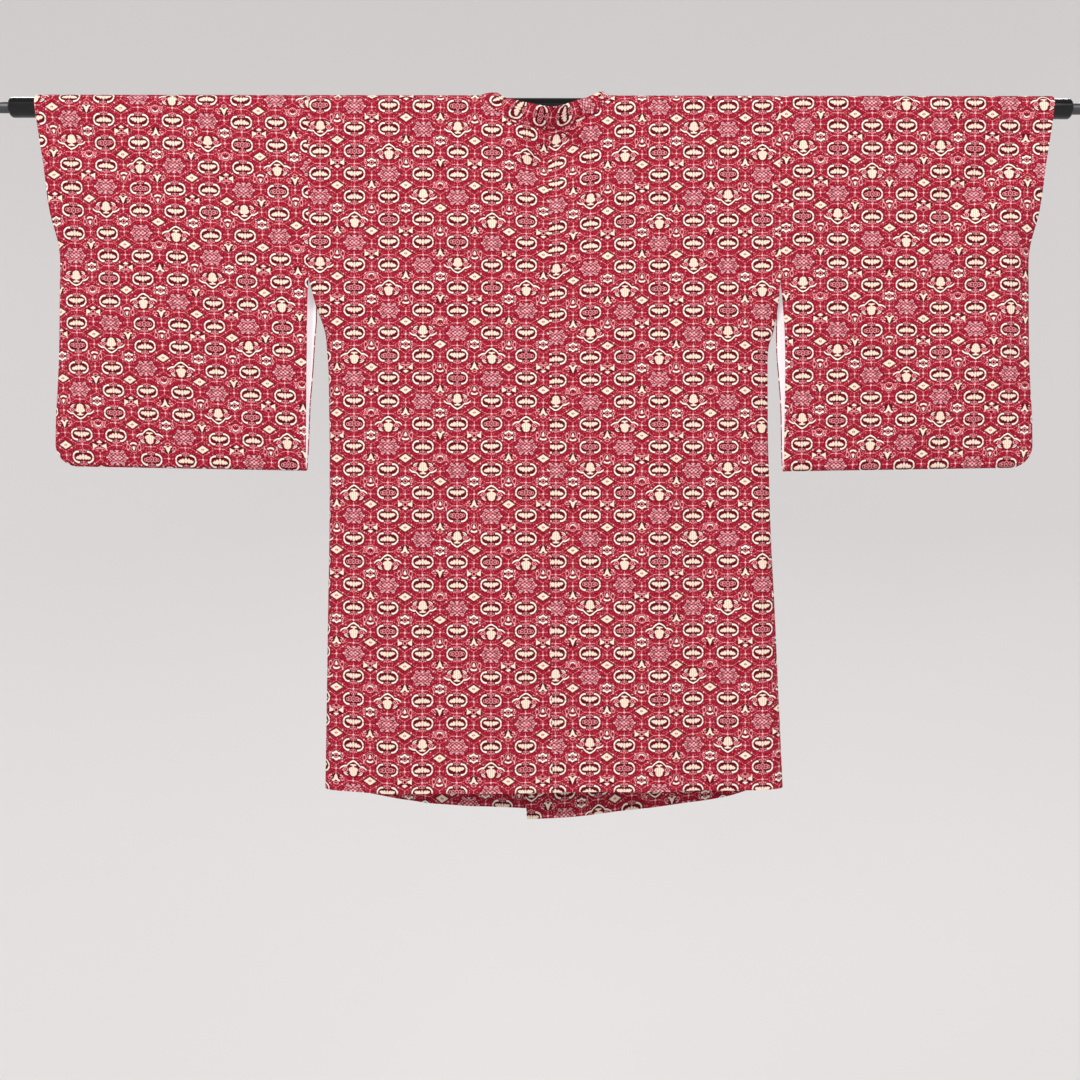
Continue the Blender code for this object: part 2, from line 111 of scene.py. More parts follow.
# Neck and collar
NECK_HALF_WIDTH = 0.082
NECK_BACK_DROP = 0.051
FRAME_INNER_X = 0.070
FRAME_OUTER_X = 0.098
FRAME_FLARE_DROP = 0.060
FRAME_INNER_DROP = 0.165
FRAME_OUTER_DROP = 0.193
FRAME_END_X = 0.068
COLLAR_GAP = 0.0005
COLLAR_RIPPLE = 0.0012
COLLAR_RIPPLE_LENGTH = 0.013
COLLAR_RIPPLE_WANDER = 1.1
COLLAR_RIPPLE_ALONG = 90
COLLAR_CROWN = 0.0009
COLLAR_TOP_DROP = 0.004
COLLAR_FRONT_STATIONS = 24
COLLAR_SIDE_STATIONS = 28
COLLAR_COLUMNS = 8
COLLAR_BACK_Y = -0.010
COLLAR_PRINT_COLUMN = 1
COLLAR_PRINT_ROW = 1
COLLAR_PRINT_X = -0.003
COLLAR_PRINT_RISE = 0.016

# The left front lies outside the right one
OVERLAP_LIFT = 0.0046
OVERLAP_LIFT_START = -0.098
OVERLAP_LIFT_END = -0.071

# Buttons
BUTTON_RADIUS = 0.0085
BUTTON_DOME = 0.0040
BUTTON_EDGE = 0.0012
BUTTON_X = 0.050
BUTTON_DROPS = {"button_upper": 0.212, "button_lower": 0.372}
BUTTON_PRINT = (0.0218, 0.0145)

# The print's repeat, and how far its chart is moved on the front bands
PITCH_ACROSS = 0.0440
PITCH_DOWN = 0.0291
BAND_PRINT_ACROSS = 0.013
BAND_PRINT_DOWN = 0.009

# The print's own millimetres, in which its motifs and the trellis between them are drawn
MM_ACROSS = PITCH_ACROSS * 1000
MM_DOWN = PITCH_DOWN * 1000
CROSS_DOWN = 12.6
NET_DOWN = -1.95
NET_WIDE = 15.5
NET_HIGH = 10.0

# Grid steps of the shells
COLUMN_STEP = 0.0055
ROW_STEP = 0.0050
EDGE_STEPS = (0, 0.0007, 0.0016, 0.0030, 0.0048, 0.0074)
PLAIN_STEPS = (0, 0.003, 0.006)
BODY_WIDTH = 0.29
SLEEVE_WIDTH = 0.33
BAND_WIDTH = 0.16

# Studio
FLOOR_HEIGHT = -3.4
BOWL_FLAT = 2.6
BOWL_ROUND = 4.4
BOWL_RIM = 6.5
GROUND_GLOW = 0.32
# How brightly the sleeve linings glow: painted light, not a lamp, that lifts the shade inside the sleeves
LINING_PAINTED_GLOW = 0.30
ROOM_LIGHT = 0.238
LIGHT_AIM = Vector((0, 0, -0.9))

# The photograph's view
CAMERA_PLACE = (-0.005, -1.616, -0.558)
CAMERA_ROLL = math.radians(-0.08)
CAMERA_SENSOR_MM = 36
CAMERA_LENS_MM = 41.67
CAMERA_FAR = 50

Edge = namedtuple("Edge", "drop x")
Layers = namedtuple("Layers", "drop back front")
Hem = namedtuple("Hem", "x drop")
Roll = namedtuple("Roll", "angle x y z")
Fold = namedtuple("Fold", "top_x top_drop low_x low_drop width height")
Lay = namedtuple("Lay", "x drop column row turn lean tilt")
Sag = namedtuple("Sag", "depth width fade_drop")
Lamp = namedtuple("Lamp", "name place size energy colour")

BODY_SIDE = {
    -1: (
        Edge(0.175, -0.30235), Edge(0.221, -0.3018), Edge(0.231, -0.2990), Edge(0.256, -0.2925),
        Edge(0.308, -0.2795), Edge(0.380, -0.2765), Edge(0.477, -0.2755), Edge(0.660, -0.2775),
        Edge(0.876, -0.2805),
    ),
    1: (
        Edge(0.175, 0.30235), Edge(0.221, 0.3018), Edge(0.238, 0.3010), Edge(0.261, 0.2988),
        Edge(0.278, 0.2962), Edge(0.292, 0.2938), Edge(0.308, 0.2888), Edge(0.331, 0.2874),
        Edge(0.380, 0.2876), Edge(0.477, 0.2895), Edge(0.660, 0.2975), Edge(0.876, 0.3075),
    ),
}
CENTRE_SEAM = (Edge(0.02, 0.005), Edge(0.27, 0.0064), Edge(0.63, 0.009), Edge(0.876, 0.0115))
BAND_SEAM = {
    -1: (Edge(0.193, -0.098), Edge(0.930, -0.125)),
    1: (Edge(0.193, 0.098), Edge(0.930, 0.140)),
}
BAND_EDGE = {
    -1: (Edge(0.193, 0.068), Edge(0.930, 0.036)),
    1: (Edge(0.193, -0.068), Edge(0.930, -0.018)),
}
BODY_GAP = (
    Layers(0.000, 0.0144, 0.0144), Layers(0.100, 0.0144, 0.0150), Layers(0.221, 0.0144, 0.0175),
    Layers(0.350, 0.0150, 0.0200), Layers(0.600, 0.0170, 0.0240), Layers(0.930, 0.0190, 0.0280),
)
SLEEVE_GAP = (
    Layers(0.000, 0.0144, 0.0144), Layers(0.100, 0.0144, 0.0150), Layers(0.229, 0.0144, 0.0175),
    Layers(0.300, 0.0140, 0.0190), Layers(0.380, 0.0110, 0.0140), Layers(0.430, 0.0080, 0.0090),
    Layers(0.4625, 0.0050, 0.0050),
)
BACK_HEM = (Hem(-0.281, 0.8780), Hem(-0.150, 0.8825), Hem(0.000, 0.8810), Hem(0.308, 0.8760))
LEFT_FRONT_HEM = (
    Hem(-0.281, 0.8780), Hem(-0.216, 0.8940), Hem(-0.171, 0.9010), Hem(-0.126, 0.9060),
    Hem(-0.037, 0.9110), Hem(0.040, 0.9145),
)
RIGHT_FRONT_HEM = (
    Hem(-0.020, 0.9250), Hem(0.008, 0.9240), Hem(0.098, 0.9145), Hem(0.187, 0.9035),
    Hem(0.232, 0.8965), Hem(0.277, 0.8835), Hem(0.308, 0.8760),
)
SLEEVE_EDGE = (
    Edge(-0.014, 0.6545), Edge(0.013, 0.6520), Edge(0.083, 0.6410), Edge(0.137, 0.6345),
    Edge(0.204, 0.6240), Edge(0.233, 0.6243), Edge(0.297, 0.6248), Edge(0.360, 0.6268),
    Edge(0.424, 0.6298), Edge(0.468, 0.6302),
)
SLEEVE_INNER = {
    -1: (
        Layers(0.221, 0.30265, 0.30265), Layers(0.262, 0.3036, 0.2936),
        Layers(0.300, 0.3040, 0.2960), Layers(0.345, 0.3046, 0.2985),
        Layers(0.385, 0.3052, 0.3012), Layers(0.4625, 0.3066, 0.3066),
    ),
    1: (
        Layers(0.221, 0.30265, 0.30265), Layers(0.262, 0.3060, 0.2998),
        Layers(0.300, 0.3083, 0.3000), Layers(0.345, 0.3090, 0.3024),
        Layers(0.385, 0.3090, 0.3048), Layers(0.4625, 0.3086, 0.3086),
    ),
}
COLLAR_ROLL = {
    -1: (
        Roll(0, 0.0095, -0.0290, -0.0079), Roll(20, -0.0140, -0.0270, -0.0033),
        Roll(40, -0.0330, -0.0220, 0.0022), Roll(60, -0.0500, -0.0150, 0.0075),
        Roll(75, -0.0580, -0.0080, 0.0142), Roll(90, -0.0640, 0.0000, 0.0188),
    ),
    1: (
        Roll(0, 0.0095, -0.0290, -0.0079), Roll(20, 0.0290, -0.0275, -0.0029),
        Roll(40, 0.0430, -0.0230, 0.0030), Roll(60, 0.0570, -0.0150, 0.0092),
        Roll(75, 0.0660, -0.0065, 0.0155), Roll(90, 0.0720, 0.0000, 0.0206),
    ),
}

# Soft ridges towards the viewer, and troughs where the height is negative
BACK_FOLDS = (
    Fold(-0.186, 0.40, -0.194, 0.90, 0.034, 0.0045),
    Fold(-0.045, 0.43, -0.042, 0.80, 0.034, 0.0045),
    Fold(0.138, 0.38, 0.146, 0.90, 0.030, 0.0045),
    Fold(-0.254, 0.46, -0.250, 0.88, 0.020, -0.0035),
    Fold(-0.118, 0.36, -0.116, 0.90, 0.032, -0.0045),
    Fold(0.044, 0.42, 0.050, 0.90, 0.036, -0.0040),
    Fold(0.190, 0.40, 0.200, 0.92, 0.022, -0.0055),
    Fold(0.250, 0.50, 0.262, 0.90, 0.026, 0.0030),
    Fold(0.050, 0.24, -0.005, 0.40, 0.026, -0.0022),
    Fold(-0.195, 0.08, -0.120, 0.20, 0.024, 0.0020),
    Fold(-0.160, 0.20, -0.040, 0.215, 0.024, -0.0024),
    Fold(-0.120, 0.30, -0.070, 0.36, 0.028, 0.0020),
    Fold(0.034, 0.032, -0.010, 0.090, 0.030, -0.0165),
    Fold(-0.040, 0.026, -0.022, 0.078, 0.010, 0.0034),
    Fold(0.060, 0.075, 0.120, 0.150, 0.022, 0.0020),
    Fold(-0.030, 0.03, -0.090, 0.13, 0.018, 0.0016),
    Fold(0.274, 0.25, 0.280, 0.52, 0.020, -0.0050),
    Fold(-0.276, 0.28, -0.274, 0.47, 0.014, -0.0035),
)
FRONT_FOLDS = (
    Fold(-0.200, 0.36, -0.210, 0.90, 0.032, 0.0030),
    Fold(-0.150, 0.44, -0.156, 0.90, 0.022, -0.0022),
    Fold(0.190, 0.38, 0.200, 0.90, 0.034, 0.0032),
    Fold(0.245, 0.42, 0.250, 0.88, 0.022, -0.0020),
    Fold(-0.190, 0.05, -0.140, 0.20, 0.026, 0.0012),
    Fold(0.185, 0.05, 0.140, 0.22, 0.026, 0.0012),
)
SLEEVE_FOLDS = {
    -1: (
        Fold(0.650, 0.008, 0.520, 0.100, 0.022, -0.0055),
        Fold(0.600, 0.080, 0.480, 0.180, 0.030, 0.0030),
        Fold(0.598, 0.090, 0.596, 0.260, 0.014, -0.0050),
        Fold(0.602, 0.300, 0.604, 0.370, 0.014, -0.0045),
        Fold(0.500, 0.200, 0.492, 0.450, 0.032, 0.0042),
        Fold(0.418, 0.230, 0.425, 0.450, 0.028, -0.0040),
        Fold(0.350, 0.280, 0.352, 0.440, 0.024, 0.0025),
    ),
    1: (
        Fold(0.642, 0.012, 0.490, 0.165, 0.022, -0.0050),
        Fold(0.628, 0.075, 0.520, 0.210, 0.028, 0.0035),
        Fold(0.606, 0.140, 0.572, 0.370, 0.022, 0.0060),
        Fold(0.556, 0.270, 0.465, 0.445, 0.028, 0.0035),
        Fold(0.505, 0.220, 0.500, 0.360, 0.024, -0.0030),
        Fold(0.449, 0.260, 0.452, 0.440, 0.018, 0.0030),
        Fold(0.412, 0.240, 0.414, 0.400, 0.014, -0.0028),
        Fold(0.380, 0.250, 0.383, 0.400, 0.014, 0.0022),
    ),
}

# Where one motif of the chart lies on each piece, and how far the print leans and tilts there
LAYS = {
    "body_left": Lay(-0.2872, 0.0310, 2, 2, -1, 0.0, 0.0),
    "body_right": Lay(0.0590, 0.2930, 2, 2, -1, 0.0, 0.0),
    "sleeve_left": Lay(-0.6071, 0.0486, 0, 1, 1, 0.035, 0.02),
    "sleeve_right": Lay(0.3316, 0.0563, 0, 1, 1, 0.0, 0.0),
}
# How far the print's rows hang lower beside the centre seam, and the drop by which they are level again
SEAM_SAGS = {"body_left": Sag(0.009, 0.055, 0.26), "body_right": Sag(0.015, 0.060, 0.50)}
SAG_TOP = 0.02

# The print's chart: O oval with its wings hanging, U oval with them up, X and W the same in pink outline,
# P bud, Q bud upside down, F flower cluster
LARGE_CHART = ("FUOO", "PXOO", "OUQF", "UFWU", "XPUO", "UOFQ")
# Between them: R ring flower, B bow, Y trefoil, A trefoil upside down, S scroll, K fan, D lozenge
SMALL_CHART = ("RBAS", "KDRY", "BSYD", "DYSB", "SRDR", "YDKD")
LARGE_MOTIFS = "OUXWPQF"
SMALL_MOTIFS = "RBYASKD"

LAMPS = (
    Lamp("key", (-1.7, -3.6, 2.6), 1.6, 134, (1.0, 0.985, 0.96)),
    Lamp("fill", (1.9, -3.6, 2.5), 2.0, 78, (0.98, 0.99, 1.0)),
)

PRINT_COLOURS = {
    "ground": (0.230, 0.0044, 0.018),
    "ground_light": (0.402, 0.026, 0.047),
    "dark": (0.105, 0.0025, 0.008),
    "pink": (0.90, 0.32, 0.35),
    "lilac": (0.84, 0.54, 0.60),
    "milk": (0.92, 0.80, 0.72),
    "cream": (0.92, 0.74, 0.60),
}


def smooth(low, high, value):
    """0 below low, 1 above high, and an even curve between them."""
    share = min(1.0, max(0.0, (value - low) / (high - low)))
    return share * share * (3 - 2 * share)


def rounded(share):
    """A quarter of an ellipse: 0 at 0, upright there, and level 1 from 1 on."""
    return math.sqrt(max(0.0, 1 - (1 - min(1.0, max(0.0, share))) ** 2))


@lru_cache(maxsize=None)
def columns_of(table, key, column):
    """A table's keys, its values in one column, and the curve's slope at each row."""
    keys = [getattr(row, key) for row in table]
    values = [getattr(row, column) for row in table]
    rises = [(b - a) / (k - j) for a, b, j, k in zip(values, values[1:], keys, keys[1:])]
    slopes = [rises[0]]
    for before, after in zip(rises, rises[1:]):
        slopes.append(0.0 if before * after <= 0 else 2 * before * after / (before + after))
    slopes.append(rises[-1])
    return keys, values, slopes


@lru_cache(maxsize=None)
def read(table, key, column, at):
    """The table's column at a key value, on a smooth curve through its rows."""
    keys, values, slopes = columns_of(table, key, column)
    if at <= keys[0]:
        return values[0]
    if at >= keys[-1]:
        return values[-1]
    row = bisect_right(keys, at) - 1
    span = keys[row + 1] - keys[row]
    share = (at - keys[row]) / span
    left = values[row] + slopes[row] * span * share
    right = values[row + 1] - slopes[row + 1] * span * (1 - share)
    return left + (right - left) * share * share * (3 - 2 * share)


def fold_height(folds, x, drop):
    """The height of all folds at a place, each a soft ridge along its line that fades at its ends."""
    height = 0.0
    for fold in folds:
        along_x = fold.low_x - fold.top_x
        along_drop = fold.low_drop - fold.top_drop
        square = along_x**2 + along_drop**2
        share = ((x - fold.top_x) * along_x + (drop - fold.top_drop) * along_drop) / square
        off_x = x - fold.top_x - along_x * share
        off_drop = drop - fold.top_drop - along_drop * share
        nearness = (off_x * off_x + off_drop * off_drop) / (fold.width * fold.width)
        if nearness < 9:
            fade = smooth(-0.15, 0.25, share) * (1 - smooth(0.8, 1.2, share))
            height += fold.height * fade * math.exp(-nearness)
    return height


def pucker(from_seam, along, seed):
    """Small puckers that a seam draws into the cloth beside it."""
    if from_seam > 3 * PUCKER_REACH:
        return 0.0
    wave = noise.noise(Vector((along * PUCKER_WAVES, seed, from_seam * PUCKER_SPREAD)))
    return PUCKER_HEIGHT * wave * math.exp(-from_seam / PUCKER_REACH)


def seam_sink(from_seam):
    """How far the cloth rolls in at a seam's edge."""
    return SEAM_SINK * (1 - rounded(from_seam / SEAM_ROLL))


def drape(x, drop, seed):
    """The cloth's faint unevenness over a hand's width."""
    place = Vector((x * 11, drop * 6, seed))
    return DRAPE_HEIGHT * noise.noise(place) + DRAPE_FINE_HEIGHT * noise.noise(place * DRAPE_FINER)


def over_rod(x, layer, length, lift=0.0):
    """A point on the fold over the rod, at a length of cloth from its top."""
    angle = length / FOLD_RADIUS
    radius = FOLD_RADIUS + lift
    return Vector((x, layer * radius * math.sin(angle), radius * math.cos(angle)))


def seam_sag(name, x, drop):
    """How far the print's rows hang lower at a place beside the centre seam."""
    if name not in SEAM_SAGS:
        return 0.0
    sag = SEAM_SAGS[name]
    near = math.exp(-abs(x - CENTRE_SEAM[0].x) / sag.width)
    return sag.depth * near * (1 - smooth(SAG_TOP, sag.fade_drop, drop))


def cloth_place(name, x, layer, length):
    """Where a point of cloth lies in the print: metres across and down its chart."""
    lay = LAYS[name]
    aside = x - lay.x
    down = -layer * length - lay.drop - FOLD_LENGTH
    fallen = down - lay.tilt * aside - seam_sag(name, x, length - FOLD_LENGTH)
    across = (lay.column + 0.5) * PITCH_ACROSS + lay.turn * (aside - lay.lean * down)
    along = (lay.row + 0.5) * PITCH_DOWN + lay.turn * fallen
    return across, along


def past_edge(depth_before, depth, from_edge):
    """How much more cloth than its width lies in an outer edge's turn, where the cloth faces sideways."""
    if from_edge >= EDGE_TURN:
        return 0.0
    return max(0.0, abs(depth_before - depth) - max(0.0, EDGE_TURN - from_edge))


def stepped(length, step, edges=EDGE_STEPS):
    """Even steps along a length, with finer ones at both of its ends."""
    last = edges[-1]
    count = max(1, round((length - 2 * last) / step))
    inner = [last + (length - 2 * last) * index / count for index in range(1, count)]
    return [*edges, *inner, *(length - edge for edge in reversed(edges))]


def neck_angle_length(angle):
    """How much cloth lies between the shoulder's top and the back neck seam, at an angle round the neck."""
    return NECK_BACK_DROP * math.cos(math.radians(angle))


def neck_x(side, angle):
    """Where the back neck seam lies, from the centre seam at 0 degrees to the shoulder's top at 90."""
    centre = CENTRE_SEAM[0].x * math.cos(math.radians(angle))
    return centre + side * NECK_HALF_WIDTH * math.sin(math.radians(angle))


def front_neck_x(length):
    """Half the width of the neck at a length of cloth down the front from the shoulder's top."""
    return NECK_HALF_WIDTH + (FRAME_OUTER_X - NECK_HALF_WIDTH) * smooth(0, FRAME_FLARE_DROP, length)


def hem_drop(side, layer, x, drop):
    """A row's drop, stretched below the hips so that the last row lies on the hem."""
    if layer < 0:
        table = BACK_HEM
    else:
        table = LEFT_FRONT_HEM if side < 0 else RIGHT_FRONT_HEM
    share = max(0.0, (drop - HEM_RAMP_TOP) / (HEM_REFERENCE - HEM_RAMP_TOP))
    return drop + (read(table, "x", "drop", x) - HEM_REFERENCE) * share


def body_depth(side, layer, x, drop):
    """How far the body's inner face stands from the rod's axis plane."""
    full = read(BODY_GAP, "drop", "back" if layer < 0 else "front", drop)
    full += fold_height(BACK_FOLDS if layer < 0 else FRONT_FOLDS, x, drop)
    full += drape(x, drop, 3.0 * layer) * smooth(0.0, FOLD_FADE, drop)
    edge = full * (1 - smooth(ARMHOLE_BOTTOM, SLIT_BOTTOM, drop))
    from_side = abs(x - read(BODY_SIDE[side], "drop", "x", drop))
    depth = edge + (full - edge) * rounded(from_side / BODY_EDGE_ROUND)
    if layer > 0 and side < 0:
        depth += OVERLAP_LIFT * smooth(OVERLAP_LIFT_START, OVERLAP_LIFT_END, x)
    return layer * depth


def body_inner_x(side, layer, drop):
    """Where a body length's inner edge lies: the centre seam behind, and the neck and band seam in front."""
    if layer < 0:
        return read(CENTRE_SEAM, "drop", "x", drop) + side * HALF_SEAM
    if drop >= FRAME_OUTER_DROP:
        return read(BAND_SEAM[side], "drop", "x", drop) + side * HALF_SEAM
    return side * (front_neck_x(drop + FOLD_LENGTH) + HALF_SEAM)


def body_rows():
    """The rows of a body length from the back hem over the shoulder to the front hem.

    Each row is its layer, its length of cloth from the shoulder's top and its angle round the back neck.
    """
    lowest = FOLD_LENGTH + HEM_REFERENCE
    back = stepped(lowest - NECK_BACK_DROP, ROW_STEP)
    rows = [(-1, NECK_BACK_DROP + length, None) for length in reversed(back[1:])]
    for angle in range(0, 90, 3):
        rows.append((-1, neck_angle_length(angle), angle))
    front = stepped(lowest, ROW_STEP, PLAIN_STEPS)
    rows += [(1, length, None) for length in front]
    return rows


def body_point(side, across, row):
    """A point on a body length's inner face, and its place in the print."""
    layer, length, neck_angle = row
    drop = length - FOLD_LENGTH
    outer = read(BODY_SIDE[side], "drop", "x", drop)
    if neck_angle is not None:
        inner = neck_x(side, neck_angle) + side * HALF_SEAM
    elif drop > 0:
        inner = body_inner_x(side, layer, drop)
    else:
        inner = side * (front_neck_x(length) + HALF_SEAM)
    x = outer + (inner - outer) * across
    turned_x = x
    if drop > ARMHOLE_BOTTOM:
        before = body_depth(side, layer, outer - side * EDGE_TURN, drop)
        turned_x += side * past_edge(before, body_depth(side, layer, x, drop), abs(x - outer))
    place = cloth_place("body_left" if side < 0 else "body_right", turned_x, layer, length)
    at_armhole = 1 - smooth(ARMHOLE_BOTTOM, ARMHOLE_BOTTOM + SEAM_FADE, drop)
    relief = pucker(abs(x - inner), length, 1.5 * side) - seam_sink(abs(x - inner))
    relief += at_armhole * (pucker(abs(x - outer), length, 4.0) - seam_sink(abs(x - outer)))
    if drop <= 0:
        return over_rod(x, layer, length, max(relief, -SEAM_SINK)), place
    depth = body_depth(side, layer, x, drop)
    return Vector((x, depth + layer * relief, -hem_drop(side, layer, x, drop))), place


def sleeve_edge_x(drop):
    """A sleeve's outer edge, with the rounded corner at the bottom."""
    x = read(SLEEVE_EDGE, "drop", "x", drop)
    above = SLEEVE_BOTTOM - drop
    if above < SLEEVE_CORNER:
        x -= SLEEVE_CORNER - math.sqrt(max(0.0, SLEEVE_CORNER**2 - (SLEEVE_CORNER - above) ** 2))
    return x


def sleeve_rows():
    """The rows round a sleeve, from its bottom up the back, over the rod and down the front."""
    turn = [(-1, "turn", math.radians(angle)) for angle in range(0, 90, 15)]
    straight = SLEEVE_BOTTOM - SLEEVE_TURN
    corner = [straight - step * CORNER_STEP for step in range(CORNER_STEPS)]
    above = stepped(corner[-1], ROW_STEP, PLAIN_STEPS)
    side = [(-1, "side", drop) for drop in corner[:-1] + above[::-1]]
    fold = [(-1, "fold", math.radians(angle)) for angle in range(85, 0, -5)]
    back = turn + side + fold
    front = [(1, zone, at) for _, zone, at in reversed(back)]
    return [*back, (-1, "fold", 0.0), *front]


def sleeve_point(side, across, row):
    """A point on a sleeve's inner face, across from the body to the cuff, and its place in the print."""
    layer, zone, at = row
    drop = at
    length = FOLD_LENGTH + at
    if zone == "turn":
        drop = SLEEVE_BOTTOM - SLEEVE_TURN * (1 - math.cos(at))
        length = FOLD_LENGTH + SLEEVE_BOTTOM - SLEEVE_TURN + SLEEVE_TURN * (math.pi / 2 - at)
    elif zone == "fold":
        drop = -FOLD_RADIUS * math.cos(at)
        length = FOLD_RADIUS * at
    inner = read(SLEEVE_INNER[side], "drop", "back" if layer < 0 else "front", drop)
    outer = sleeve_edge_x(drop)
    x = inner + (outer - inner) * across
    name = "sleeve_left" if side < 0 else "sleeve_right"
    place = cloth_place(name, side * x, layer, length)
    at_armhole = 1 - smooth(ARMHOLE_BOTTOM, ARMHOLE_BOTTOM + SEAM_FADE, drop)
    relief = at_armhole * (pucker(x - inner, length, 7.0 + side) - seam_sink(x - inner))
    if zone == "fold":
        return over_rod(side * x, layer, length, max(relief, -SEAM_SINK)), place
    full = read(SLEEVE_GAP, "drop", "back" if layer < 0 else "front", drop)
    if zone == "turn":
        full = SLEEVE_TURN * math.sin(at)
    if layer > 0:
        below = smooth(ARMHOLE_BOTTOM, ARMHOLE_BOTTOM + SLEEVE_OPEN_FADE, drop)
        narrow = below * smooth(0.0, SLEEVE_OPEN_END, SLEEVE_BOTTOM - drop)
        full -= SLEEVE_OPEN_NARROW * narrow * (1 - smooth(0.0, SLEEVE_OPEN_REACH, x - inner))
    ends = smooth(0.0, FOLD_FADE, SLEEVE_BOTTOM - drop) * smooth(0.0, FOLD_FADE, drop)
    full += (fold_height(SLEEVE_FOLDS[side], x, drop) + drape(side * x, drop, 9.0 * layer)) * ends
    edge = full * (1 - smooth(CUFF_BOTTOM - CUFF_FADE, CUFF_BOTTOM, drop))
    depth = edge + (full - edge) * rounded((outer - x) / EDGE_ROUND)
    before = edge + (full - edge) * rounded(EDGE_TURN / EDGE_ROUND)
    place = cloth_place(name, side * (x + past_edge(before, depth, outer - x)), layer, length)
    fallen = drop - SLEEVE_RISE * across * smooth(CUFF_BOTTOM, SLEEVE_BOTTOM, drop)
    return Vector((side * x, layer * (depth + relief), -fallen)), place


def band_rows():
    """The drops of a front band's rows, from under the collar to the hem."""
    top = FRAME_OUTER_DROP + SEAM_GAP
    return [top + length for length in stepped(HEM_REFERENCE - top, ROW_STEP)]


def band_point(side, across, drop):
    """A point on a front band's inner face, across from its seam to its free edge."""
    seam = read(BAND_SEAM[side], "drop", "x", drop) - side * HALF_SEAM
    free = read(BAND_EDGE[side], "drop", "x", drop)
    x = seam + (free - seam) * across
    relief = pucker(abs(x - seam), drop, 2.5 * side) - seam_sink(abs(x - seam))
    place = cloth_place("body_left" if side < 0 else "body_right", x, 1, FOLD_LENGTH + drop)
    point = Vector((x, body_depth(side, 1, x, drop) + relief, -hem_drop(side, 1, x, drop)))
    return point, (place[0] + BAND_PRINT_ACROSS, place[1] + BAND_PRINT_DOWN)


def frame_point(side, x, drop):
    """A point of the front neck's frame, on the body's own form."""
    return Vector((x, body_depth(side, 1, x, drop), -drop))


def shoulder_station(side, length):
    """A station where the collar lies over the front quarter of the rod."""
    outer = over_rod(side * (front_neck_x(length) - HALF_SEAM), 1, length)
    top = COLLAR_ROLL[side][-1]
    angle = length / FOLD_RADIUS
    inner = over_rod(top.x + (side * FRAME_INNER_X - top.x) * math.sin(angle), 1, length)
    lifted = 1 + (top.z / FOLD_RADIUS - 1) * math.cos(angle)
    return Vector((inner.x, inner.y * lifted, inner.z * lifted)), outer


def back_neck_station(side, angle):
    """A station of the back neck, from its centre at 0 degrees to the shoulder's top at 90."""
    length = neck_angle_length(angle)
    drop = length - FOLD_LENGTH
    x = neck_x(side, angle)
    outer = over_rod(x, -1, length)
    if drop > 0:
        outer = Vector((x, body_depth(side, -1, x, drop), -drop))
    roll = COLLAR_ROLL[side]
    inner = Vector(read(roll, "angle", column, float(angle)) for column in ("x", "y", "z"))
    wander = COLLAR_RIPPLE_WANDER * math.sin(x * COLLAR_RIPPLE_ALONG)
    wave = math.sin(math.tau * x / COLLAR_RIPPLE_LENGTH + wander)
    inner.y += COLLAR_RIPPLE * wave * (1 - smooth(50, 80, angle))
    return inner, outer


def collar_half(side):
    """One half of the collar's stations, from its front end to the centre back."""
    corner = side * FRAME_OUTER_X
    stations = []
    for step in range(COLLAR_FRONT_STATIONS):
        share = step / COLLAR_FRONT_STATIONS
        inner_x = -side * FRAME_END_X + side * (FRAME_END_X + FRAME_INNER_X) * share
        outer_x = -side * FRAME_END_X + (corner - side * HALF_SEAM + side * FRAME_END_X) * share
        inner = frame_point(side, inner_x, FRAME_INNER_DROP)
        stations.append((inner, frame_point(side, outer_x, FRAME_OUTER_DROP)))
    for step in range(COLLAR_SIDE_STATIONS):
        share = step / COLLAR_SIDE_STATIONS
        outer_drop = FRAME_OUTER_DROP + (COLLAR_TOP_DROP - FRAME_OUTER_DROP) * share
        inner_drop = FRAME_INNER_DROP + (COLLAR_TOP_DROP - FRAME_INNER_DROP) * share
        outer_x = side * (front_neck_x(outer_drop + FOLD_LENGTH) - HALF_SEAM)
        inner = frame_point(side, side * FRAME_INNER_X, inner_drop)
        stations.append((inner, frame_point(side, outer_x, outer_drop)))
    for angle in range(90, 0, -10):
        stations.append(shoulder_station(side, FOLD_RADIUS * math.radians(angle)))
    for angle in range(90, -1, -3):
        stations.append(back_neck_station(side, angle))
    return stations


def collar_stations():
    """The collar's inner and outer edges, station by station, from the right front's end to the left's."""
    return collar_half(1) + collar_half(-1)[-2::-1]


def settle(sockets, values):
    """Sets plain values on sockets, by the sockets' names."""
    for name, value in values.items():
        sockets[name].default_value = value


